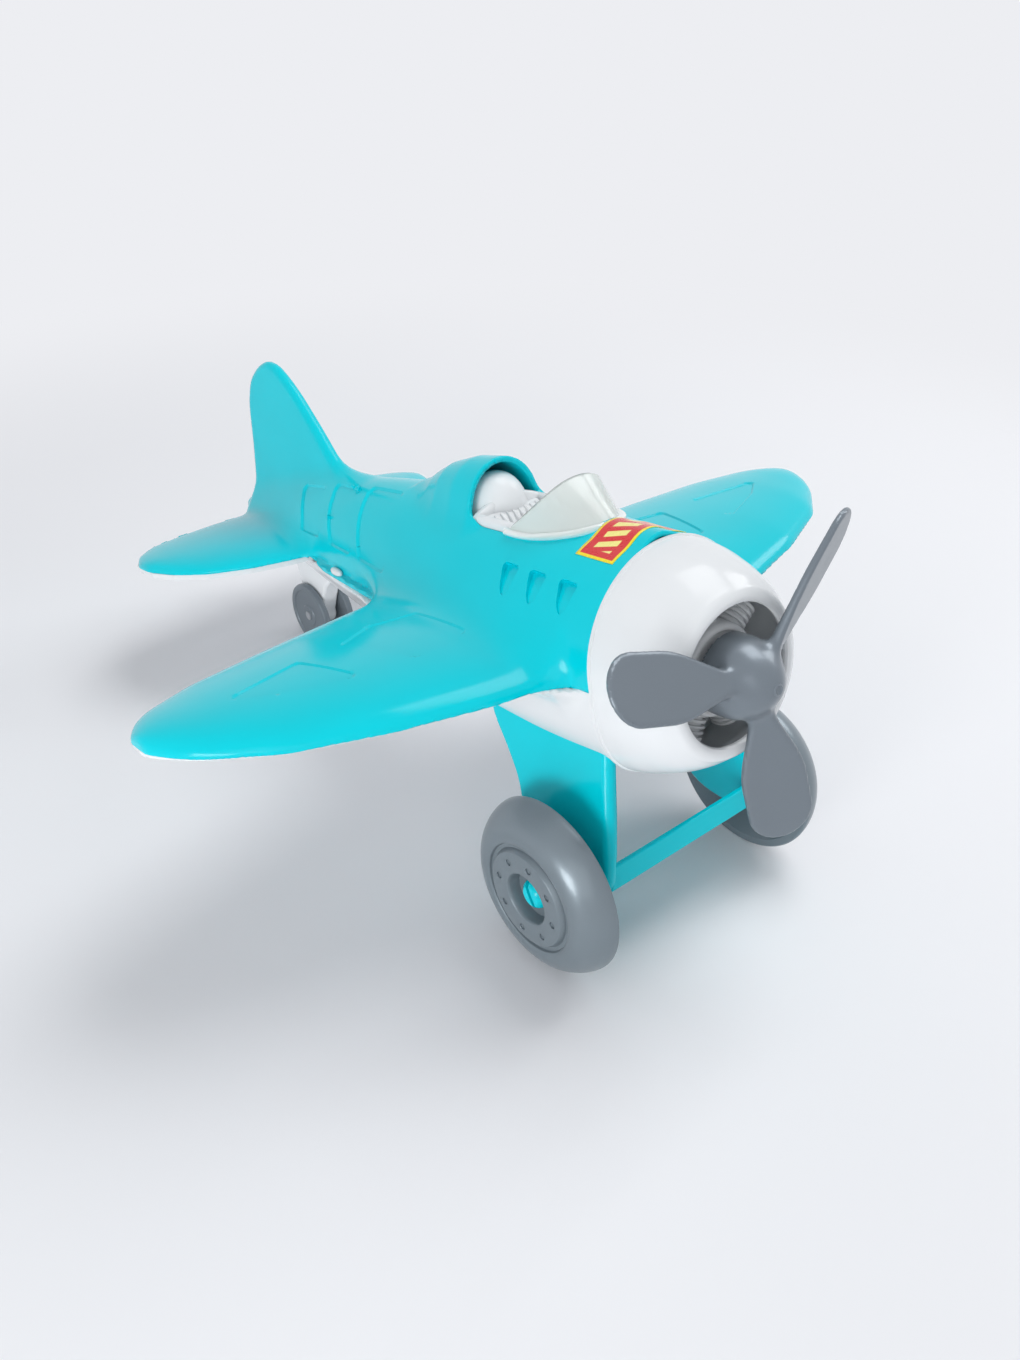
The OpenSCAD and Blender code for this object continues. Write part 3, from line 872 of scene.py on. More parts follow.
class Repeat:
    """A Geometry Nodes tree with named sizes, run once into a plain mesh."""

    def __init__(self, name: str) -> None:
        """Starts the tree with its geometry sockets.

        Args:
            name: name of the tree.
        """
        self.tree = bpy.data.node_groups.new(name, "GeometryNodeTree")
        self.maker = Maker(self.tree)
        face = self.tree.interface
        face.new_socket("Geometry", in_out="INPUT", socket_type="NodeSocketGeometry")
        face.new_socket("Geometry", in_out="OUTPUT", socket_type="NodeSocketGeometry")
        self.sizes: dict[str, tuple[str, float]] = {}
        self.entry = self.maker.node("NodeGroupInput")

    def size(self, name: str, value: float, kind: str = "NodeSocketFloat") -> Sock:
        """Adds a named input and gives its output inside the tree.

        Args:
            name: name of the input.
            value: its value.
            kind: its socket type.

        Returns:
            The value inside the tree.
        """
        socket = self.tree.interface.new_socket(name, in_out="INPUT", socket_type=kind)
        self.sizes[name] = (socket.identifier, value)
        return self.maker.out(self.entry, name)

    def geometry(self) -> Sock:
        """The mesh that the tree starts from."""
        return self.maker.out(self.entry, "Geometry")

    def ring(self, item: Sock, count: Sock, radius: Sock) -> Sock:
        """Copies of item spread round Z, each turned to face outwards.

        Args:
            item: the mesh to copy or move.
            count: how many copies.
            radius: radius of the circle of copies.

        Returns:
            The ring of copies.
        """
        m = self.maker
        spots = m.out(m.node("GeometryNodeMeshCircle", {}, {"Vertices": count, "Radius": radius}))
        index = m.out(m.node("GeometryNodeInputIndex"))
        turn = (index * (2 * math.pi)).math("DIVIDE", count)
        spin = m.out(m.node("ShaderNodeCombineXYZ", {}, {2: turn}))
        return self.copies(spots, item, spin)

    def row(self, item: Sock, count: Sock, gap: Sock) -> Sock:
        """Copies of item in a line along X.

        Args:
            item: the mesh to copy or move.
            count: how many copies.
            gap: distance between copies.

        Returns:
            The row of copies.
        """
        m = self.maker
        offset = m.out(m.node("ShaderNodeCombineXYZ", {}, {0: gap}))
        line = m.out(m.node("GeometryNodeMeshLine", {}, {"Count": count, "Offset": offset}))
        return self.copies(line, item, (0.0, 0.0, 0.0))

    def copies(self, spots: Sock, item: Sock, spin: Sock | tuple) -> Sock:
        """One copy of item at each spot, as real mesh.

        Args:
            spots: points that take a copy.
            item: the mesh to copy or move.
            spin: turn of each copy.

        Returns:
            The copies as one mesh.
        """
        m = self.maker
        values = {"Points": spots, "Instance": item, "Rotation": spin}
        placed = m.out(m.node("GeometryNodeInstanceOnPoints", {}, values))
        return m.out(m.node("GeometryNodeRealizeInstances", {}, {0: placed}))

    def minus(self, solid: Sock, tool: Sock) -> Sock:
        """A solid with a tool cut out of it.

        Args:
            solid: what is cut.
            tool: what cuts it.

        Returns:
            The cut solid.
        """
        node = self.maker.node("GeometryNodeMeshBoolean", {"operation": "DIFFERENCE"})
        self.tree.links.new(solid.socket, node.inputs[0])
        self.tree.links.new(tool.socket, node.inputs[1])
        return self.maker.out(node)

    def shift(
        self, item: Sock, by: tuple, turn: tuple = (0, 0, 0), scale: tuple = (1, 1, 1)
    ) -> Sock:
        """An item moved, turned and scaled."""
        values = {"Geometry": item, "Translation": by, "Rotation": turn, "Scale": scale}
        return self.maker.out(self.maker.node("GeometryNodeTransform", {}, values))

    def run(self, start: Surface, result: Sock, material: bpy.types.Material) -> Surface:
        """Runs the tree on a mesh.

        Args:
            start: mesh that goes in.
            result: what comes out.
            material: finish that the tree sets.

        Returns:
            The plain result.
        """
        m = self.maker
        whole = m.out(m.node("GeometryNodeRealizeInstances", {}, {0: result}))
        painted = m.node("GeometryNodeSetMaterial", {}, {"Geometry": whole, "Material": material})
        m.node("NodeGroupOutput", {}, {0: m.out(painted)})
        mesh = bpy.data.meshes.new("start")
        mesh.from_pydata(start.points.tolist(), [], [list(map(int, f)) for f in start.faces])
        host = bpy.data.objects.new("start", mesh)
        bpy.context.scene.collection.objects.link(host)
        step = host.modifiers.new("repeat", "NODES")
        step.node_group = self.tree
        for key, value in self.sizes.values():
            step[key] = value
        done = bpy.data.meshes.new_from_object(
            host.evaluated_get(bpy.context.evaluated_depsgraph_get())
        )
        points = np.array([v.co for v in done.vertices], float).reshape(-1, 3)
        faces = [list(p.vertices) for p in done.polygons]
        bpy.data.objects.remove(host)
        return Surface(points, faces)


# ---------------------------------------------------------------- the airframe's forms


@dataclass
class Airframe(Form):
    """The moulded body: fuselage, wings, stabilisers, fin and headrest hump."""

    seam_y: float = -14.6
    body_l: float = 266.0
    nose_r: float = 33.0
    nose_z: float = 70.0
    split_z: float = 65.0
    rise: float = math.tan(math.radians(2.7))
    half_span: float = 140.0
    chord: float = 106.0
    wing_t: float = 12.0
    stab_half: float = 70.0
    stab_chord: float = 80.0
    stab_y: float = 162.4
    stab_z: float = 69.0
    stab_t: float = 7.0
    fin_h: float = 70.0
    fullness: float = 0.75
    hump_y: float = 58.0
    hump_z: float = 101.0
    hump_w: float = 15.0
    hump_h: float = 17.0
    hump_end: float = 102.0
    upper: bool = True

    def __post_init__(self) -> None:
        """Smooths the station tables."""
        body = [0, 0.055, 0.13, 0.28, 0.43, 0.58, 0.73, 0.86, 0.955, 1]
        y = [self.seam_y + self.body_l * t for t in body]
        wide = [1, 1, 1.005, 0.95, 0.82, 0.66, 0.48, 0.32, 0.17, 0.05]
        top = [0.992, 0.998, 1.03, 1.04, 1.0, 0.89, 0.70, 0.48, 0.28, 0.1]
        low = [1.18, 1.18, 1.18, 1.13, 1.01, 0.84, 0.61, 0.37, 0.15, 0.05]
        self.wide, self.top, self.low = (
            Curve(y, [self.nose_r * v for v in row], 7.0) for row in (wide, top, low)
        )
        part = [0, 0.2, 0.4, 0.6, 0.8, 0.93, 0.99, 1]
        lead = [0, 0.01, 0.045, 0.12, 0.235, 0.38, 0.49, 0.575]
        trail = [1.03, 1.0, 0.955, 0.905, 0.845, 0.765, 0.685, 0.6]
        high = [1, 0.95, 0.88, 0.79, 0.68, 0.55, 0.4, 0.2]
        x = [self.half_span * p for p in part]
        self.wing_lead = Curve(x, [self.chord * v - 5 for v in lead], 2.5)
        self.wing_trail = Curve(x, [self.chord * v - 5 for v in trail], 2.5)
        self.wing_high = Curve(x, [self.wing_t * v for v in high], 2.5)
        stab_lead = [0, 0.03, 0.08, 0.16, 0.29, 0.45, 0.6, 0.67]
        stab_trail = [1.0, 1.02, 1.03, 1.02, 0.99, 0.9, 0.79, 0.72]
        x = [self.stab_half * p for p in part]
        self.stab_lead = Curve(x, [self.stab_y + self.stab_chord * v for v in stab_lead], 1.6)
        self.stab_trail = Curve(x, [self.stab_y + self.stab_chord * v for v in stab_trail], 1.6)
        self.stab_high = Curve(x, [self.stab_t * v for v in high], 1.6)
        end, tall = self.seam_y + self.body_l, self.fin_h
        outline = [
            (-112, 0.33), (-88, 0.44), (-77, 0.64), (-66, 0.82), (-59, 0.91), (-52, 0.98),
            (-45, 1.0), (-37, 0.965), (-28, 0.88), (-22, 0.73), (-18, 0.47), (-11, 0.14),
            (-9, 0.0), (-90, 0.1),
        ]
        self.fin_outline = rounded([(end + y, self.nose_z + tall * z) for y, z in outline], 2)

    def fuselage(self, x: Array, y: Array, z: Array) -> Array:
        """The round hull alone.

        Args:
            x: sideways places, in millimetres.
            y: lengthwise places, in millimetres.
            z: heights, in millimetres.

        Returns:
            Distance, negative inside.
        """
        up = z - self.nose_z
        tall = np.where(up > 0, self.top(y), self.low(y))
        full = self.fullness * (1 - smooth_step(50, 120, y)) * smooth_step(0, 6, -up)
        hull = ellipse_gap(x, up, self.wide(y), tall, 2 + full)
        return np.maximum(hull, y - (self.seam_y + self.body_l))

    def blade(
        self, y: Array, z: Array, lead: Array, trail: Array, high: Array, under: float
    ) -> Array:
        """A wing-like section between a leading and trailing edge over a flat height.

        Args:
            y: lengthwise places, in millimetres.
            z: heights over the flat, in millimetres.
            lead: leading edge at each point.
            trail: trailing edge at each point.
            high: height of the upper skin.
            under: depth of the lower skin.

        Returns:
            Distance, negative inside.
        """
        half = np.maximum((trail - lead) / 2, 0.6)
        u = (y - (lead + trail) / 2) / half
        skin = np.where(z > 0, high * (1 - 0.2 * np.clip(u, -1, 1)), under)
        return ellipse_gap(u * half, z, half, skin)

    def wings(self, x: Array, y: Array, z: Array) -> Array:
        """Both wings.

        Args:
            x: sideways places, in millimetres.
            y: lengthwise places, in millimetres.
            z: heights, in millimetres.

        Returns:
            Distance, negative inside.
        """
        far = np.abs(x)
        level = z - self.split_z - far * self.rise
        form = self.blade(
            y, level, self.wing_lead(far), self.wing_trail(far), self.wing_high(far), 2.6
        )
        return -smooth_min(-form, self.half_span - 0.2 - far, 1.5)

    def tail(self, x: Array, y: Array, z: Array) -> Array:
        """Both stabilisers.

        Args:
            x: sideways places, in millimetres.
            y: lengthwise places, in millimetres.
            z: heights, in millimetres.

        Returns:
            Distance, negative inside.
        """
        far = np.abs(x)
        form = self.blade(
            y,
            z - self.stab_z,
            self.stab_lead(far),
            self.stab_trail(far),
            self.stab_high(far),
            2.4,
        )
        return -smooth_min(-form, self.stab_half - 0.2 - far, 1.5)

    def fin(self, x: Array, y: Array, z: Array) -> Array:
        """The fin, thicker at its root, with a full round edge.

        Args:
            x: sideways places, in millimetres.
            y: lengthwise places, in millimetres.
            z: heights, in millimetres.

        Returns:
            Distance, negative inside.
        """
        thick = np.interp(z, [74, 140], [3.3, 2.1])
        edge = np.maximum(outline_gap(self.fin_outline, y, z) + thick, 0)
        return np.sqrt(edge**2 + x * x) - thick

    def hump(self, x: Array, y: Array, z: Array) -> Array:
        """The headrest hump, tapering to the rear.

        Args:
            x: sideways places, in millimetres.
            y: lengthwise places, in millimetres.
            z: heights, in millimetres.

        Returns:
            Distance, negative inside.
        """
        run = [-14, -4, 0, 12, 24, 33, 40, 46]
        from_peak = y - self.hump_y
        wide = np.interp(from_peak, run, [0.3, 0.9, 1, 0.94, 0.78, 0.55, 0.3, 0.1]) * self.hump_w
        tall = np.interp(from_peak, run, [0.2, 0.9, 1, 0.93, 0.74, 0.5, 0.26, 0.1]) * self.hump_h
        return np.maximum(ellipse_gap(x, z - self.hump_z, wide, tall), y - self.hump_end)

    def ledge(self, x: Array, y: Array, z: Array) -> Array:
        """The flange along the parting line ahead of each stabiliser."""
        reach = 3.0 * smooth_step(99, 106, y) * (1 - smooth_step(172, 180, y))
        return np.maximum(self.fuselage(x, y, z) - reach, np.abs(z - 66.3) - 1.5)

    def value(self, x: Array, y: Array, z: Array) -> Array:
        """The whole body, joined with fillets.

        Args:
            x: sideways places, in millimetres.
            y: lengthwise places, in millimetres.
            z: heights, in millimetres.

        Returns:
            Distance, negative inside.
        """
        root = 2 + 11 * smooth_step(-14, -1, y)
        form = smooth_min(self.fuselage(x, y, z), self.wings(x, y, z), root)
        form = smooth_min(form, self.tail(x, y, z), 8)
        if self.upper:
            form = smooth_min(form, self.hump(x, y, z), 6)
            form = smooth_min(form, self.fin(x, y, z), 9)
            form = smooth_min(form, self.ledge(x, y, z), 0.8)
        return form

    def parting(self, p: Array) -> Array:
        """Height of points over the parting surface of the two shells.

        Args:
            p: points, one a row, in millimetres.

        Returns:
            Height over the surface, in millimetres.
        """
        wing = self.split_z + np.abs(p[:, 0]) * self.rise
        share = smooth_step(150, 165, p[:, 1])
        return p[:, 2] - wing * (1 - share) - self.stab_z * share


@dataclass
class Cockpit:
    """Opening, coaming, seat, windscreen and panel."""

    half: float = 15.3
    front: float = 6.5
    centre: float = 34.0
    rear: float = 58.0
    dome_y: float = 62.5
    dome_z: float = 96.0
    screen_top: float = 117.0
    screen_turn: float = math.radians(98)
    shell: Airframe = field(default_factory=Airframe)

    def opening(self, p: Array) -> Array:
        """Distance outside the opening, seen from above.

        Args:
            p: points, one a row, in millimetres.

        Returns:
            Distance, negative inside the opening.
        """
        x, y = np.abs(p[:, 0]), p[:, 1]
        nose = ellipse_gap(x, y - self.centre, self.half, self.centre - self.front)
        return np.maximum(np.where(y < self.centre, nose, x - self.half), y - self.rear)

    def outline(self, inset: float, steps: int = 24) -> Array:
        """Plan points round the opening, from the rear right round the nose.

        Args:
            inset: distance in from the edge.
            steps: points on a quarter of the nose.

        Returns:
            Plan points.
        """
        turn = np.linspace(0, math.pi, 2 * steps + 1)
        rx, ry = self.half - inset, self.centre - self.front - inset
        nose = np.stack([rx * np.cos(turn), self.centre - ry * np.sin(turn)], 1)
        side = np.linspace(self.rear - inset, self.centre, 9)[:-1]
        right = np.stack([np.full(8, rx), side], 1)
        back = np.linspace(-rx, rx, 11)[1:-1]
        close = np.stack([back, np.full(9, self.rear - inset)], 1)
        return np.concatenate([right, nose, (right * [-1, 1])[::-1], close])

    def rim(self, inset: float, rise: float) -> Array:
        """The same points laid at a height over the shell.

        Args:
            inset: distance in from the edge.
            rise: height over the shell.

        Returns:
            The points of one ring.
        """
        plan = self.outline(inset)
        wide, top = self.shell.wide(plan[:, 1]), self.shell.top(plan[:, 1])
        z = self.shell.nose_z + top * np.sqrt(1 - (plan[:, 0] / wide) ** 2) + rise
        return np.column_stack([plan, z])

    def level(self, inset: float, z: float) -> Array:
        """The same points at one height."""
        plan = self.outline(inset)
        return np.column_stack([plan, np.full(len(plan), z)])

    def build_tub(self, looks: Finishes) -> None:
        """White coaming and floor.

        Args:
            looks: the toy's finishes.
        """
        rings = [
            self.level(4.5, 84.0),
            self.level(0.5, 86.0),
            self.rim(0.35, -6.0),
            self.rim(0.35, 0.6),
            self.rim(0.7, 1.3),
            self.rim(1.5, 1.7),
            self.rim(2.6, 1.5),
            self.rim(3.2, 0.7),
            self.rim(3.5, -2.0),
            self.level(4.2, 90.0),
            self.level(5.2, 87.5),
        ]
        show("coaming", loft(rings), looks.white, Body.AIRFRAME, ("cockpit_tub",))

    def build_seat(self, looks: Finishes) -> None:
        """Headrest dome, sloping backrest with raised pleats, and the cushion.

        Args:
            looks: the toy's finishes.
        """
        turn = np.linspace(0, 2 * math.pi, 48, endpoint=False)
        rings = []
        for t in np.linspace(0.02, 1, 16):
            a = t * math.pi / 2
            r = math.sin(a) ** 0.85
            rings.append(
                np.stack(
                    [
                        11.8 * r * np.cos(turn),
                        self.dome_y + 10.5 * r * np.sin(turn) - 0.5 * (1 - math.cos(a)),
                        np.full(48, self.dome_z + 16.5 * math.cos(a)),
                    ],
                    1,
                )
            )
        rings.append(rings[-1] - [0, 0, 9.0])
        dome = loft(rings[::-1])
        lean = [(53.5, 101.5), (51.5, 100.6), (45.5, 93.0), (42.5, 88.6), (60, 88.6), (60, 101.5)]
        rest = extrude(lean, -10.6, 10.6).moved(lambda p: p[:, [2, 0, 1]])
        block = [(24.0, 88.4), (24.5, 91.2), (26.0, 92.2), (42.0, 92.6), (43.5, 88.4)]
        cushion = extrude(block, -9.6, 9.6).moved(lambda p: p[:, [2, 0, 1]])
        tree = Repeat("pleats")
        gap = tree.size("Gap", 2.5)
        count = tree.size("Count", 8, "NodeSocketInt")
        m = tree.maker
        ball = m.out(m.node("GeometryNodeMeshUVSphere", {}, {"Segments": 16, "Rings": 10}))
        rib = tree.shift(ball, (0, 4.2, 1.2), (-0.68, 0, 0), (0.85, 1.0, 6.6))
        lie = tree.shift(ball, (0, -10.5, -3.1), (1.571, 0, 0), (0.85, 0.9, 8.2))
        both = m.node("GeometryNodeJoinGeometry")
        for item in (lie, rib):
            tree.tree.links.new(item.socket, both.inputs[0])
        ribs = tree.row(m.out(both), count, gap)
        pleats = tree.run(dome, tree.shift(ribs, (-8.75, 44.2, 95.2)), looks.white)
        seat = dome.joined(rest, cushion, pleats)
        show("seat_and_headrest", seat, looks.white, Body.AIRFRAME, ("seat",))

    def build_screen(self, looks: Finishes) -> None:
        """Milky windscreen leaning back over a thick foot.

        Args:
            looks: the toy's finishes.
        """
        rows, across = 14, 64
        share = np.linspace(-1, 1, across + 1)
        a = share * self.screen_turn
        full = np.maximum(np.cos(share * math.pi / 2), 0) ** 0.8
        rings = []
        for j in range(rows + 1):
            v = full * j / rows
            rx, ry = 15.6 - 1.6 * v, 28.2 - 15.4 * v
            x, y = rx * np.sin(a), self.centre - 2.2 * v - ry * np.cos(a)
            foot = self.shell.nose_z + self.shell.top(y) * np.sqrt(
                1 - np.minimum(np.abs(x) / self.shell.wide(y), 0.9) ** 2
            )
            z = (foot + 0.6) * (1 - v) + self.screen_top * v
            rings.append(np.stack([x, y, z], 1))
        outer = np.array(rings)
        inner = outer.copy()
        centre = np.array([0, self.centre + 12, 0])
        inner[..., :2] -= 1.3 * (outer - centre)[..., :2] / np.linalg.norm(
            (outer - centre)[..., :2], axis=2, keepdims=True
        )
        loops = [np.concatenate([o, i[::-1]]) for o, i in zip(outer, inner)]
        screen = loft(loops)
        foot_line = outer[0] + [0, 0, 0.2]
        tube = []
        ahead = np.gradient(foot_line, axis=0)
        ahead /= np.linalg.norm(ahead, axis=1, keepdims=True)
        side = np.cross(ahead, [0, 0, 1.0])
        side /= np.linalg.norm(side, axis=1, keepdims=True)
        rise = np.cross(side, ahead)
        for c, s, r in zip(foot_line, side, rise):
            angle = np.linspace(0, 2 * math.pi, 16, endpoint=False)
            tube.append(c + 1.5 * np.cos(angle)[:, None] * s + 1.2 * np.sin(angle)[:, None] * r)
        parts = screen.joined(loft(tube))
        show(
            "windscreen_shell", parts, looks.milky, Body.AIRFRAME, ("windscreen",),
            bevel=0.35,
        )

    def build(self, looks: Finishes) -> None:
        """All of the cockpit.

        Args:
            looks: the toy's finishes.
        """
        self.build_tub(looks)
        self.build_seat(looks)
        self.build_screen(looks)
        looks.wear("instrument_panel", looks.white)


@dataclass
class Shells:
    """Upper and lower body mouldings with their sunk panels."""

    step: float = 1.3
    wall: float = 1.8
    girth: float = 0.49
    seam_gap: float = 0.15
    tab_y: float = 141.0
    tab_z: float = 68.3
    tab_half: float = 4.7
    tab_r: float = 1.5
    print_turn: float = math.radians(27.5)
    print_back: float = 5.6
    print_ahead: float = -10.0
    cockpit: Cockpit = field(default_factory=Cockpit)

    def side_plan(self, p: Array) -> tuple[Array, Array]:
        """Lengthwise place and distance round the side from the top line."""
        angle = np.degrees(np.arctan2(np.abs(p[:, 0]), p[:, 2] - self.cockpit.shell.nose_z))
        return p[:, 1], angle * self.girth

    def windows(self) -> list:
        """Outlines of the three windows of one side.

        Returns:
            Three outlines as (length, girth) corners.
        """
        return [
            [(107.5, 5.6), (130.5, 5.6), (121, 36.5), (99, 36.5)],
            [(137, 6.2), (157.5, 6.2), (147.5, 35.4), (129, 35.4)],
            [(165.5, 7.0), (185, 7.0), (175.5, 33.6), (159.5, 33.6)],
        ]

    def louvers(self) -> list:
        """Outlines of the three louvers of one side.

        Returns:
            Three outlines as (length, girth) corners.
        """
        return [
            [(f, 20.8), (f + 7.2, 20.8), (f + 4.8, 28.6), (f + 2.6, 30.2), (f + 1.0, 29.0)]
            for f in (-2.6, 11.0, 23.8)
        ]

    def wing_panels(self) -> list:
        """Outlines of the shallow panels on one wing.

        Returns:
            Two outlines as (side, length) corners.
        """
        return [
            [(80, 32), (86, 57), (113, 50), (104, 41)],
            [(41, 30), (41, 60), (57, 65), (71, 58), (62, 27), (51, 27)],
        ]

    def build_upper(self, looks: Finishes) -> None:
        """The teal upper shell.

        Args:
            looks: the toy's finishes.
        """
        form = self.cockpit.shell
        skin = form.skin((-144, -20, 58), (144, 255, 142), self.step)
        skin = skin.keep(form.parting(skin.points) - 0.03)
        skin = skin.keep(skin.points[:, 1] - form.seam_y - self.seam_gap)
        skin = skin.keep(self.cockpit.opening(skin.points))
        for outline in self.windows():
            skin = skin.sink(lambda p, o=outline: -inset_gap(o, *self.side_plan(p), 2.6), 0.8, 0.9)
        for outline in self.louvers():
            u, v = self.side_plan(skin.points)
            skin = skin.recess(-inset_gap(outline, u, v, 1.1), self.louver_depth)
        for outline in self.wing_panels():
            skin = skin.sink(
                lambda p, o=outline: -inset_gap(o, np.abs(p[:, 0]), p[:, 1], 2.2), 0.5, 0.7
            )
        show(
            "upper_body", skin, looks.teal, Body.AIRFRAME, ("upper_shell",),
            wall=self.wall,
        )

    def louver_depth(self, p: Array) -> Array:
        """Deep under the flat top, shallow at the point."""
        return np.interp(self.side_plan(p)[1], [21.0, 29.4], [2.0, 0.5])

    def build_lower(self, looks: Finishes) -> None:
        """The white hull with the wings' lower skins.

        Args:
            looks: the toy's finishes.
        """
        form = Airframe(upper=False)
        skin = form.skin((-144, -20, 26), (144, 255, 74), self.step + 0.2)
        normal = skin.normals()
        skin.points = skin.points - normal * 0.15
        skin = skin.keep(-form.parting(skin.points) - 0.05)
        skin = skin.keep(skin.points[:, 1] - form.seam_y - self.seam_gap)
        far = np.abs(skin.points[:, 0])
        y = skin.points[:, 1]
        skin = skin.keep(np.maximum(158 - y, form.wide(y) + 0.6 - far))
        show(
            "lower_body", skin, looks.white, Body.AIRFRAME, ("lower_shell",),
            wall=self.wall,
        )

    def build_tabs(self, looks: Finishes) -> None:
        """Rounded snap tabs on the flanges.

        Args:
            looks: the toy's finishes.
        """
        form = self.cockpit.shell
        for side, node in ((Side.LEFT, "snap_clip_left"), (Side.RIGHT, "snap_clip_right")):
            rings = []
            for y in np.linspace(-4.6, 4.6, 17):
                swell = math.sqrt(max(1 - (abs(y) / self.tab_half) ** 2.6, 0.01))
                a = np.linspace(0, 2 * math.pi, 20, endpoint=False)
                x0 = float(form.wide(np.array(self.tab_y + y))) + 1.4
                rings.append(
                    np.stack(
                        [
                            side.value * (x0 + self.tab_r * swell * np.cos(a)),
                            np.full(20, self.tab_y + y),
                            self.tab_z + self.tab_r * swell * np.sin(a),
                        ],
                        1,
                    )[:: -side.value]
                )
            show(f"{node}_pill", loft(rings), looks.white, Body.AIRFRAME, (node,))

    def build_sticker(self, finish: Label) -> None:
        """A thin sticker that follows the shell ahead of the windscreen.

        Args:
            finish: its printed finish.
        """
        form = self.cockpit.shell
        half, back, ahead = self.print_turn, self.print_back, self.print_ahead
        nu, nv = 48, 20
        long = 2 * half * form.nose_r
        wide = back - ahead
        points, prints = [], []
        for j, i in product(range(nv + 1), range(nu + 1)):
            u, v = i / nu, j / nv
            a = (u - 0.5) * 2 * half
            r = form.nose_r + 1
            points.append((r * math.sin(a), ahead + wide * v, form.nose_z + r * math.cos(a)))
            prints.append((u, v))
        on = form.settle(np.array(points), 0.22, 5)
        faces = [
            [
                j * (nu + 1) + i,
                j * (nu + 1) + i + 1,
                (j + 1) * (nu + 1) + i + 1,
                (j + 1) * (nu + 1) + i,
            ]
            for j, i in product(range(nv), range(nu))
        ]
        piece = show(
            "sticker_print", Surface(on, faces), finish.make(long, wide),
            Body.AIRFRAME, ("sticker",), wall=0.18,
        )
        layer = piece.data.uv_layers.new(name="print")
        for loop in piece.data.loops:
            layer.data[loop.index].uv = prints[loop.vertex_index]

    def build(self, looks: Finishes) -> None:
        """Both shells and what sits on them.

        Args:
            looks: the toy's finishes.
        """
        self.build_upper(looks)
        self.build_lower(looks)
        self.build_tabs(looks)
        self.build_sticker(Label())
        for node in ("stab_skin_left", "stab_skin_right"):
            looks.wear(node, looks.white)
        looks.wear("belly_screws", looks.steel)


# ---------------------------------------------------------------- nose


@dataclass
class Spinner(Form):
    """Pointed spinner with three paddle blades, drawn with +Z forward."""

    tip_r: float = 57.3
    half_w: float = 10.1
    spin_r: float = 12.4
    spin_l: float = 19.0
    blade_z: float = 10.5
    pitch: float = math.radians(28)
    first: float = math.radians(40.5)

    def hub(self, r: Array, z: Array) -> Array:
        """The spinner alone.

        Args:
            r: distances from the shaft.
            z: places along the shaft.

        Returns:
            Distance, negative inside.
        """
        u = np.clip((z - 4.5) / (self.spin_l - 4.5), 0, 1)
        wide = 1.7 + (self.spin_r - 1.7) * (1 - u**2.1) ** 0.75
        side = (r - wide) * 0.85
        return np.maximum(np.maximum(side, -z + 0.1), z - self.spin_l)

    def blade(self, x: Array, y: Array, z: Array, turn: float) -> Array:
        """One twisted blade.

        Args:
            x: sideways places, in millimetres.
            y: lengthwise places, in millimetres.
            z: heights, in millimetres.
            turn: angle of the blade round the shaft.

        Returns:
            Distance, negative inside.
        """
        r = x * math.cos(turn) + y * math.sin(turn)
        t = -x * math.sin(turn) + y * math.cos(turn)
        beta = np.interp(r, [8, 17], [self.pitch + 0.12, self.pitch])
        h = z - self.blade_z
        c = t * np.cos(beta) + h * np.sin(beta)
        n = -t * np.sin(beta) + h * np.cos(beta)
        round_r = self.tip_r - self.half_w
        s = np.clip((r - 9.4) / (round_r - 9.4), 0, 1)
        half = 3.7 + (self.half_w - 3.7) * np.sin(np.minimum(s / 0.72, 1) * math.pi / 2) ** 1.7
        thick = np.interp(r, [9, 15, 24, 57], [2.1, 1.6, 1.2, 0.95])
        edge = np.where(r < round_r, np.abs(c) - half, np.hypot(r - round_r, c) - self.half_w)
        return np.sqrt(np.maximum(edge + thick, 0) ** 2 + n * n) - thick

    def value(self, x: Array, y: Array, z: Array) -> Array:
        """Hub and blades, filleted together.

        Args:
            x: sideways places, in millimetres.
            y: lengthwise places, in millimetres.
            z: heights, in millimetres.

        Returns:
            Distance, negative inside.
        """
        form = self.hub(np.sqrt(x * x + y * y), z)
        for i in range(3):
            turn = self.first + i * 2 * math.pi / 3
            reach = x * math.cos(turn) + y * math.sin(turn)
            blade = np.maximum(self.blade(x, y, z, turn), 3 - reach)
            form = smooth_min(form, blade, 3.0)
        return np.maximum(form, 0.1 - z)


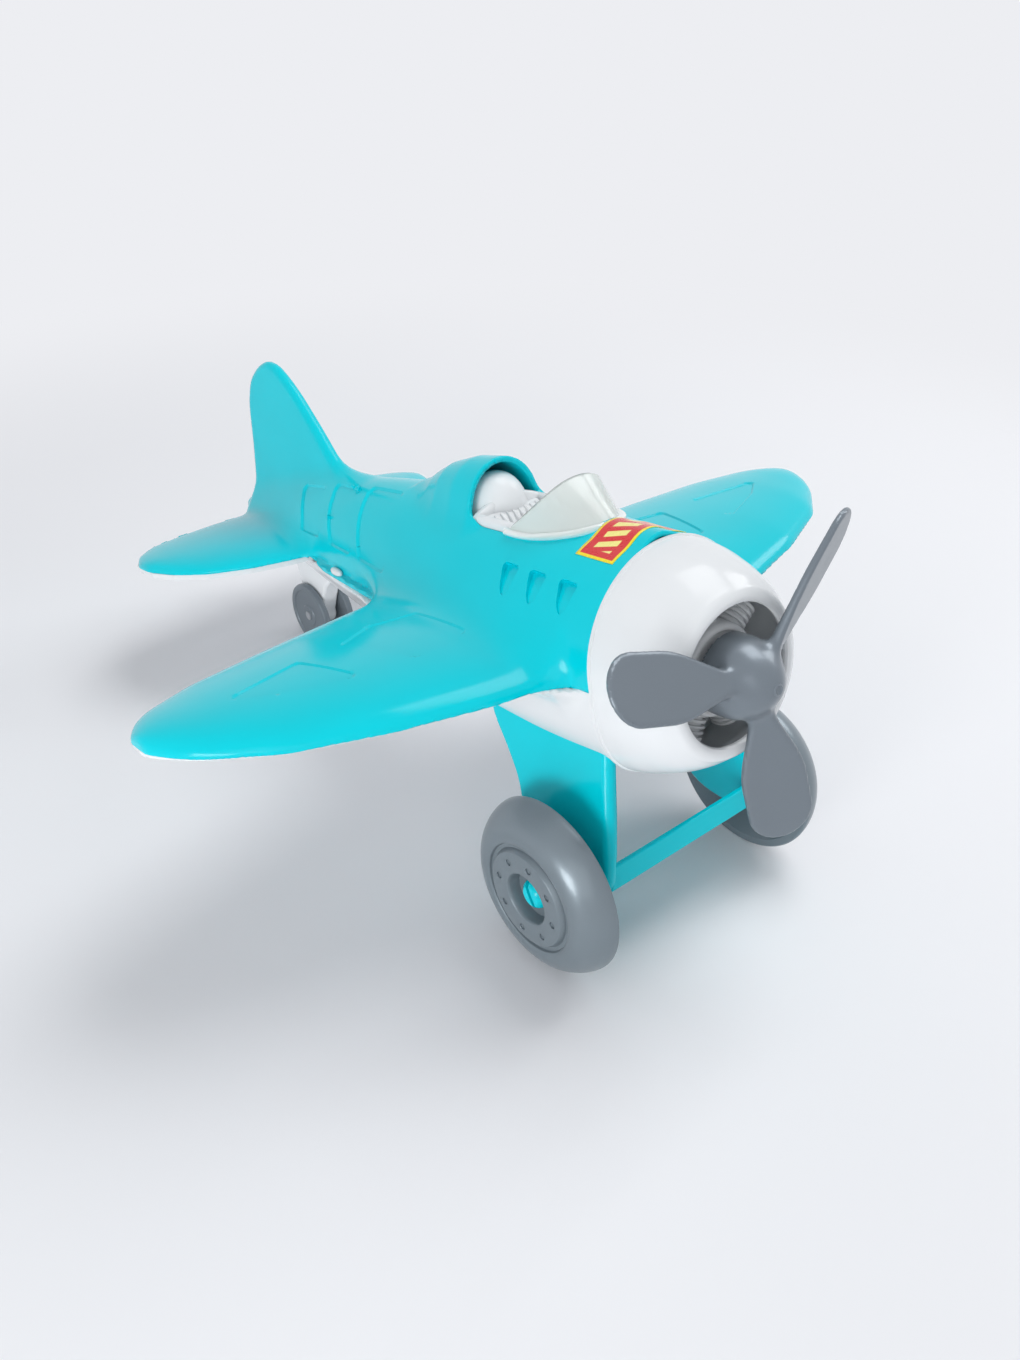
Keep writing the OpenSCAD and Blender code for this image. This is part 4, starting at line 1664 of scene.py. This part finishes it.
@dataclass
class Nose:
    """Cowl ring, dummy engine, propeller and its shaft."""

    seam_y: float = -14.6
    cowl_l: float = 27.0
    axis_z: float = 70.0
    drop: float = 3.6
    nose_r: float = 33.0
    low: float = 0.18
    fullness: float = 0.75
    prop_y: float = -37.0
    cylinders: int = 7

    def forward(self, y: float) -> Callable[[Array], Array]:
        """Turn of parts drawn with +Z forward, from y."""
        height = self.axis_z - self.drop
        return lambda p: np.stack([p[:, 0], y - p[:, 2], height + p[:, 1]], 1)

    def build_cowl(self, looks: Finishes) -> None:
        """The white cowl with a lip line at the seam and a rolled front edge.

        Args:
            looks: the toy's finishes.
        """
        t = np.linspace(0, 0.965, 26)
        size = np.interp(t, [0, 0.3, 0.6, 0.8, 0.93, 1.0], [1, 0.987, 0.935, 0.868, 0.79, 0.72])
        ease = np.convolve(np.pad(size, 2, mode="edge"), np.ones(5) / 5, mode="valid")
        ease[:3] = size[:3]
        profile = [(0.0, 0.965), (0.0, 1.0), (0.004, 1.006), (0.03, 1.006), (0.042, 0.992)]
        profile += [(float(a), float(b)) for a, b in zip(t[2:], ease[2:])]
        lip = [(0.985, 0.745), (0.997, 0.715), (0.999, 0.69), (0.99, 0.665), (0.965, 0.651)]
        inner = [(0.93, 0.652), (0.85, 0.70), (0.7, 0.79), (0.45, 0.88), (0.2, 0.92), (0.0, 0.93)]
        rings = []
        steps = 128
        a = np.arange(steps) * 2 * math.pi / steps
        for f, s in profile + lip + inner:
            below = np.sin(a) < 0
            deep = np.where(below, 1 + self.low * (1 - f), 1.0)
            power = np.where(below, 2 + self.fullness * (1 - f), 2.0)
            full = (np.abs(np.cos(a)) ** power + np.abs(np.sin(a)) ** power) ** (-1 / power)
            rings.append(
                np.stack(
                    [
                        self.nose_r * s * full * np.cos(a),
                        np.full(steps, self.seam_y - self.cowl_l * f),
                        self.axis_z - self.drop * f + self.nose_r * s * full * deep * np.sin(a),
                    ],
                    1,
                )
            )
        ring = loft(rings + [rings[0]], caps=False)
        whole = len(rings) * steps
        merged = Surface(ring.points[:-steps], [[i % whole for i in f] for f in ring.faces])
        show("cowl", merged, looks.white, Body.AIRFRAME, ("cowl_ring",))

    def build_engine(self, looks: Finishes) -> None:
        """Back plate with a ring of finned cylinders, and the boss before it.

        Args:
            looks: the toy's finishes.
        """
        tree = Repeat("engine_ring")
        count = tree.size("Cylinders", self.cylinders, "NodeSocketInt")
        fins = tree.size("Fins", 6, "NodeSocketInt")
        m = tree.maker

        def drum(radius: float, depth: float, sides: int) -> Sock:
            """A plain drum about Z."""
            values = {"Vertices": sides, "Radius": radius, "Depth": depth}
            return m.out(m.node("GeometryNodeMeshCylinder", {}, values))

        step = m.out(m.node("ShaderNodeCombineXYZ", {}, {2: tree.size("Fin gap", 1.8)}))
        line = m.out(m.node("GeometryNodeMeshLine", {}, {"Count": fins, "Offset": step}))
        stack = tree.copies(line, drum(5.6, 0.9, 32), (0.0, 0.0, 0.0))
        both = m.node("GeometryNodeJoinGeometry")
        core = tree.shift(drum(4.4, 11.5, 32), (0, 0, 16.0))
        for item in (core, tree.shift(stack, (0, 0, 12.6))):
            tree.tree.links.new(item.socket, both.inputs[0])
        lying = tree.shift(m.out(both), (0, 0, 0), (0, math.pi / 2, 0))
        ring = tree.ring(lying, count, tree.size("Spot radius", 0.01))
        whole = m.node("GeometryNodeJoinGeometry")
        raised = tree.shift(ring, (0, 0, 12.2), (0, 0, math.pi / 2))
        for item in (tree.geometry(), raised):
            tree.tree.links.new(item.socket, whole.inputs[0])
        plate = lathe(
            [(0, 0), (30.0, 0), (30.2, 0.4), (30.2, 2.6), (15.2, 3.0), (15.0, 11.0), (0, 11.0)]
        )
        plate = Surface(plate.points + [0, 1.2, 0], plate.faces)
        made = tree.run(plate, m.out(whole), looks.white).moved(self.forward(self.seam_y - 0.4))
        show(
            "dummy_engine", made, looks.white, Body.AIRFRAME, ("engine_block",),
            bevel=0.2,
        )
        boss = lathe(
            [
                (0, 0), (14.6, 0), (14.8, 1.0), (14.3, 7.0), (13.9, 7.9), (13.2, 8.4), (12.2, 8.4),
                (11.8, 7.6), (6.0, 7.4), (5.6, 9.4), (0, 9.6),
            ]
        ).moved(self.forward(self.seam_y - 12.4))
        show(
            "crankcase_boss", boss, looks.white, Body.AIRFRAME, ("crankcase",),
            bevel=0.3,
        )

    def build_propeller(self, looks: Finishes) -> None:
        """The grey propeller with its gate mark.

        Args:
            looks: the toy's finishes.
        """
        form = Spinner()
        skin = form.skin((-58.5, -58.5, -1.6), (58.5, 58.5, 19.6), 0.85, 2)
        pip = [
            (0, 18.2), (1.9, 18.2), (1.9, 19.0), (1.5, 19.3), (1.1, 19.1), (0.7, 18.7), (0, 18.6),
        ]
        mark = lathe(pip, 32)
        whole = skin.joined(mark).moved(self.forward(self.prop_y))
        show(
            "propeller_moulding", whole, looks.grey, Body.PROPELLER, ("propeller",)
        )
        looks.wear("prop_shaft", looks.steel)
        looks.wear("prop_clip", looks.grey)

    def build(self, looks: Finishes) -> None:
        """All of the nose.

        Args:
            looks: the toy's finishes.
        """
        self.build_cowl(looks)
        self.build_engine(looks)
        self.build_propeller(looks)


# ---------------------------------------------------------------- landing gear and tail


@dataclass
class Leg(Form):
    """One gear leg of the right side, a rounded plate thicker at its front edge."""

    side_x: float = 36.0
    splay: float = math.radians(14)
    shell: Airframe = field(default_factory=lambda: Airframe(upper=False))

    def __post_init__(self) -> None:
        """Rounds the outline."""
        self.outline = rounded(
            [
                (-11, 60), (50, 60), (45, 42), (34.5, 30), (28.5, 22), (25, 12), (21, 2), (13, -8),
                (0, -11), (-12, -8), (-18, 1), (-17.8, 10), (-16.5, 22), (-14, 38),
            ],
            2,
        )
        self.thick = Curve([-18, -8, 6, 40], [2.9, 2.4, 1.6, 1.4], 3.0)

    def value(self, x: Array, y: Array, z: Array) -> Array:
        """The plate, cut off inside the hull.

        Args:
            x: sideways places, in millimetres.
            y: lengthwise places, in millimetres.
            z: heights, in millimetres.

        Returns:
            Distance, negative inside.
        """
        dx = x - self.side_x
        across = dx * math.cos(self.splay) + z * math.sin(self.splay)
        up = -dx * math.sin(self.splay) + z * math.cos(self.splay)
        thick = self.thick(y)
        edge = np.maximum(outline_gap(self.outline, y, up) + thick, 0)
        plate = np.sqrt(edge**2 + across**2) - thick
        return np.maximum(plate, -self.shell.fuselage(x, y, z) - 1.2)


@dataclass
class Gear:
    """Front legs with split pins, the bar between them, and the front wheels."""

    leg_x: float = 36.0
    wheel_r: float = 30.0
    wheel_out: float = 56.0
    wheel_w: float = 12.0
    hub_r: float = 8.4
    pin_r: float = 4.0
    splay: float = math.radians(14)
    holes: int = 8
    hole_turn: float = math.radians(28)

    def lay(self, side: Side, start: float) -> Callable[[Array], Array]:
        """Turn of parts drawn about +Z so that +Z points outwards along X."""
        sign = side.value
        return lambda p: np.stack([sign * (start + p[:, 2]), sign * p[:, 1], -p[:, 0]], 1)

    def build_leg(self, looks: Finishes, side: Side, name: str) -> None:
        """A leg with its split pin.

        Args:
            looks: the toy's finishes.
            side: side of the airplane.
            name: frame node it stands for.
        """
        skin = Leg().skin((16, -22, -14), (42, 54, 62), 0.9, 2)
        if side is Side.LEFT:
            skin = Surface(skin.points * [-1, 1, 1], skin.faces[:, ::-1])
        web = self.wheel_out - 5 - self.leg_x
        pin = lathe(
            [
                (0, 0), (6.5, 0), (6.5, 4.0), (6.0, 4.6), (4.0, 4.9), (4.0, web + 0.3),
                (4.9, web + 0.5), (4.9, web + 1.0), (4.3, web + 2.2), (3.4, web + 2.9),
                (0, web + 3.0),
            ],
            48,
        )
        tree = Repeat("split_pin")
        m = tree.maker
        size = m.node("ShaderNodeCombineXYZ", {}, {0: 20.0, 1: tree.size("Slot", 1.5), 2: 20.0})
        box = m.out(m.node("GeometryNodeMeshCube", {}, {"Size": m.out(size)}))
        cut = tree.minus(tree.geometry(), tree.shift(box, (0, 0, web + 6.0), (0, 0, 0.35)))
        made = tree.run(pin, cut, looks.teal).moved(self.lay(side, self.leg_x))
        show(
            f"{name}_moulding", skin.joined(made), looks.teal, Body.AIRFRAME, (name,)
        )

    def build_bar(self, looks: Finishes) -> None:
        """The angle-section bar across the front of the legs.

        Args:
            looks: the toy's finishes.
        """

        def reach(z: float) -> float:
            """Half length of the bar at a height."""
            return self.leg_x - z * math.tan(self.splay) - 0.6

        section = [
            (-17.5, -0.5), (-9.0, -0.5), (-9.0, 1.4), (-15.5, 1.5), (-15.4, 7.6), (-17.4, 7.6),
        ]
        ends = [[(s * reach(z), y, z) for y, z in section] for s in (-1, 1)]
        show(
            "cross_bar", loft(ends[::-1]), looks.teal, Body.AIRFRAME,
            ("gear_cross_bar",), bevel=0.5,
        )

    def build_wheel(self, looks: Finishes, side: Side, body: Body, name: str) -> None:
        """A wheel with a rounded shoulder, a groove, and a plate with blind holes.

        Args:
            looks: the toy's finishes.
            side: side of the airplane.
            body: body it moves with.
            name: frame node it stands for.
        """
        w, r, web = self.wheel_w, self.wheel_r, self.wheel_w - 5
        shoulder = [
            (r - 9.5 * (1 - math.cos(a)) ** 0.8, 1 + (w - 1.6) * math.sin(a))
            for a in np.linspace(0.06, math.pi / 2, 18)
        ]
        profile = [(r - 2.8, 0.1), (r - 0.5, 0.1), (r, 0.5), (r, 1.0), *shoulder]
        profile += [
            (r - 10.8, w - 0.65), (r - 11.3, w - 1.0), (r - 11.6, w - 1.9), (r - 12.9, w - 1.9),
            (r - 13.2, w - 1.2), (r - 13.9, w - 0.15), (r - 14.5, w), (self.hub_r + 1.4, w),
            (self.hub_r + 0.5, w - 0.25), (self.hub_r, w - 1.0), (self.hub_r, web + 0.1),
            (self.pin_r + 0.25, web), (self.pin_r + 0.25, -2.6), (self.pin_r + 2.6, -2.6),
            (self.pin_r + 2.6, 4.0), (self.hub_r + 2, 4.0), (self.hub_r + 2, w - 3.4),
            (r - 9, w - 3.4), (r - 6, 5.0),
        ]
        ring = lathe(profile)
        n = 96
        last = (len(profile) - 1) * n
        faces = ring.faces[:-2] + [
            [last + i, last + (i + 1) % n, (i + 1) % n, i] for i in range(n)
        ]
        tree = Repeat("wheel_holes")
        count = tree.size("Holes", self.holes, "NodeSocketInt")
        radius = tree.size("Circle", (self.hub_r + r - 13) / 2)
        drill = tree.size("Drill", 1.15)
        m = tree.maker
        values = {"Vertices": 24, "Radius": drill, "Depth": 3.0}
        bit = m.out(m.node("GeometryNodeMeshCylinder", {}, values))
        bits = tree.shift(tree.ring(bit, count, radius), (0, 0, w + 0.8), (0, 0, self.hole_turn))
        made = tree.run(Surface(ring.points, faces), tree.minus(tree.geometry(), bits), looks.wheel)
        start = self.wheel_out - w
        show(
            f"{name}_moulding", made.moved(self.lay(side, start)), looks.wheel, body,
            (name,), bevel=0.22,
        )

    def build(self, looks: Finishes) -> None:
        """Both sides of the gear.

        Args:
            looks: the toy's finishes.
        """
        self.build_leg(looks, Side.LEFT, "gear_leg_left")
        self.build_leg(looks, Side.RIGHT, "gear_leg_right")
        self.build_bar(looks)
        self.build_wheel(looks, Side.LEFT, Body.WHEEL_LEFT, "wheel_left")
        self.build_wheel(looks, Side.RIGHT, Body.WHEEL_RIGHT, "wheel_right")


@dataclass
class TailGear:
    """Bracket, axle and the two tail discs."""

    y: float = 205.0
    z: float = 29.0
    disc_r: float = 14.5
    thick: float = 3.0
    pod_w: float = 8.0

    def build(self, looks: Finishes) -> None:
        """All of the tail gear.

        Args:
            looks: the toy's finishes.
        """
        shell = Airframe(upper=False)
        top = [
            (float(v), 70 - float(shell.low(np.array(v))) + 1.0)
            for v in (self.y + 9, self.y - 6, self.y - 24)
        ]
        turn = np.linspace(math.pi * 0.95, 2.05 * math.pi, 14)
        foot = [(self.y + 5.6 * math.cos(a), self.z + 5.6 * math.sin(a)) for a in turn]
        outline = [*foot, *top, (self.y - 14, self.z + 15)]
        pod = extrude(outline, -self.pod_w / 2, self.pod_w / 2).moved(lambda p: p[:, [2, 0, 1]])
        show("tail_pod", pod, looks.white, Body.AIRFRAME, ("tail_bracket",), bevel=1.2)
        r, t = self.disc_r, self.thick
        profile = [
            (0, 0), (r - 0.9, 0), (r - 0.25, 0.25), (r, 0.9), (r, t - 0.9), (r - 0.25, t - 0.25),
            (r - 0.9, t), (r - 2.6, t), (r - 3.0, t - 0.5), (5.0, t - 0.5), (4.6, t), (0, t),
        ]
        for side, name in ((Side.LEFT, "tail_wheel_left"), (Side.RIGHT, "tail_wheel_right")):
            disc = lathe(profile, 72).moved(
                lambda p, s=side: np.stack(
                    [
                        s.value * (self.pod_w / 2 + 0.4 + p[:, 2]),
                        self.y + s.value * p[:, 1],
                        self.z - p[:, 0],
                    ],
                    1,
                )
            )
            show(f"{name}_disc", disc, looks.disc, Body.TAIL, (name,), bevel=0.15)
        looks.wear("tail_axle", looks.steel)


# ---------------------------------------------------------------- stage


@dataclass
class Studio:
    """Pale floor, soft lights and the camera."""

    eye: tuple = (-0.22954, -0.30655, 0.29859)
    turn: float = math.radians(-39.85)
    tilt: float = math.radians(35.03)
    roll: float = math.radians(0.37)
    lens: float = 31.76
    middle: tuple = (0, 0, 0.06)
    surround: str = "F4F6FA"
    surround_level: float = 0.47
    backdrop: str = "EDEFF4"
    far_floor: str = "EDEEF2"
    floor_half: float = 6.0
    fade: tuple = (0.26, 0.62)
    lamps: tuple = (
        ("overhead", (0.62, -0.05, 1.3), 0.8, 8.8),
        ("side", (1.2, -0.2, 0.8), 0.5, 3.5),
        ("left", (-0.85, -0.32, 0.2), 0.3, 3.2),
        ("front", (-1.1, -1.0, 0.75), 1.1, 3.5),
    )

    def build_camera(self) -> None:
        """Camera at the given eye point."""
        back = Vector(
            (
                math.sin(self.turn) * math.cos(self.tilt),
                -math.cos(self.turn) * math.cos(self.tilt),
                math.sin(self.tilt),
            )
        )
        right = Vector((0, 0, 1)).cross(back).normalized()
        up = back.cross(right)
        x = right * math.cos(self.roll) + up * math.sin(self.roll)
        y = up * math.cos(self.roll) - right * math.sin(self.roll)
        data = bpy.data.cameras.new("camera")
        data.lens, data.sensor_width, data.clip_start = self.lens, 36.0, 0.01
        camera = bpy.data.objects.new("camera", data)
        bpy.context.scene.collection.objects.link(camera)
        facing = Matrix((x, y, back)).transposed().to_4x4()
        camera.matrix_world = Matrix.Translation(self.eye) @ facing
        bpy.context.scene.camera = camera

    def build_light(self, name: str, spot: tuple, size: float, power: float) -> None:
        """A soft square lamp aimed at the middle of the toy.

        Args:
            name: name of the lamp.
            spot: its place, in metres.
            size: side of its square, in metres.
            power: its power, in watts.
        """
        data = bpy.data.lights.new(name, "AREA")
        data.energy, data.size = power, size
        lamp = bpy.data.objects.new(name, data)
        lamp.location = spot
        aim = Vector(self.middle) - Vector(spot)
        lamp.rotation_euler = aim.to_track_quat("-Z", "Y").to_euler()
        bpy.context.scene.collection.objects.link(lamp)

    def build_world(self) -> None:
        """Soft surround, and a pale background for what sees past the floor."""
        world = bpy.data.worlds.new("surround")
        bpy.context.scene.world = world
        world.use_nodes = True
        maker = Maker(world.node_tree)
        light = world.node_tree.nodes["Background"]
        light.inputs["Color"].default_value = linear(self.surround)
        light.inputs["Strength"].default_value = self.surround_level
        look = {"Color": linear(self.backdrop), "Strength": 1.0}
        seen = maker.node("ShaderNodeBackground", {}, look)
        both = maker.node("ShaderNodeMixShader", {}, {0: maker.seen()})
        world.node_tree.links.new(light.outputs[0], both.inputs[1])
        world.node_tree.links.new(seen.outputs[0], both.inputs[2])
        world.node_tree.links.new(both.outputs[0], world.node_tree.nodes["World Output"].inputs[0])

    def build_floor(self) -> None:
        """A wide pale floor."""
        half = self.floor_half
        mesh = bpy.data.meshes.new("floor")
        corners = [(-half, -half, 0), (half, -half, 0), (half, half, 0), (-half, half, 0)]
        mesh.from_pydata(corners, [], [[0, 1, 2, 3]])
        mat = bpy.data.materials.new("pale_floor")
        mat.use_nodes = True
        maker = Maker(mat.node_tree)
        shader = mat.node_tree.nodes["Principled BSDF"]
        tone = maker.mix(maker.noise(6.0), linear("EBECEF"), linear("EEEFF2"))
        mat.node_tree.links.new(tone.socket, shader.inputs["Base Color"])
        shader.inputs["Roughness"].default_value = 0.75
        shader.inputs["Specular IOR Level"].default_value = 0.2
        away = maker.node("ShaderNodeVectorMath", {"operation": "LENGTH"}, {0: maker.place(1.0)})
        far = maker.out(away, 1).step(*self.fade)
        look = {"Color": linear(self.far_floor), "Strength": 1.0}
        plain = maker.node("ShaderNodeEmission", {}, look)
        both = maker.node("ShaderNodeMixShader", {}, {0: far * maker.seen()})
        mat.node_tree.links.new(shader.outputs[0], both.inputs[1])
        mat.node_tree.links.new(plain.outputs[0], both.inputs[2])
        mat.node_tree.links.new(
            both.outputs[0], mat.node_tree.nodes["Material Output"].inputs[0]
        )
        mesh.materials.append(mat)
        floor = bpy.data.objects.new("floor", mesh)
        bpy.context.scene.collection.objects.link(floor)

    def build(self) -> None:
        """Everything round the toy."""
        self.build_camera()
        self.build_floor()
        self.build_world()
        for lamp in self.lamps:
            self.build_light(*lamp)
        bpy.context.scene.view_settings.view_transform = "Standard"


def main() -> None:
    """Builds the toy, piece by piece, and its surroundings."""
    logging.basicConfig(level=logging.INFO, format="%(message)s")
    looks = Finishes()
    cockpit = Cockpit()
    for part in (Shells(cockpit=cockpit), cockpit, Nose(), Gear(), TailGear()):
        part.build(looks)
    Studio().build()


if __name__ == "__main__":
    main()
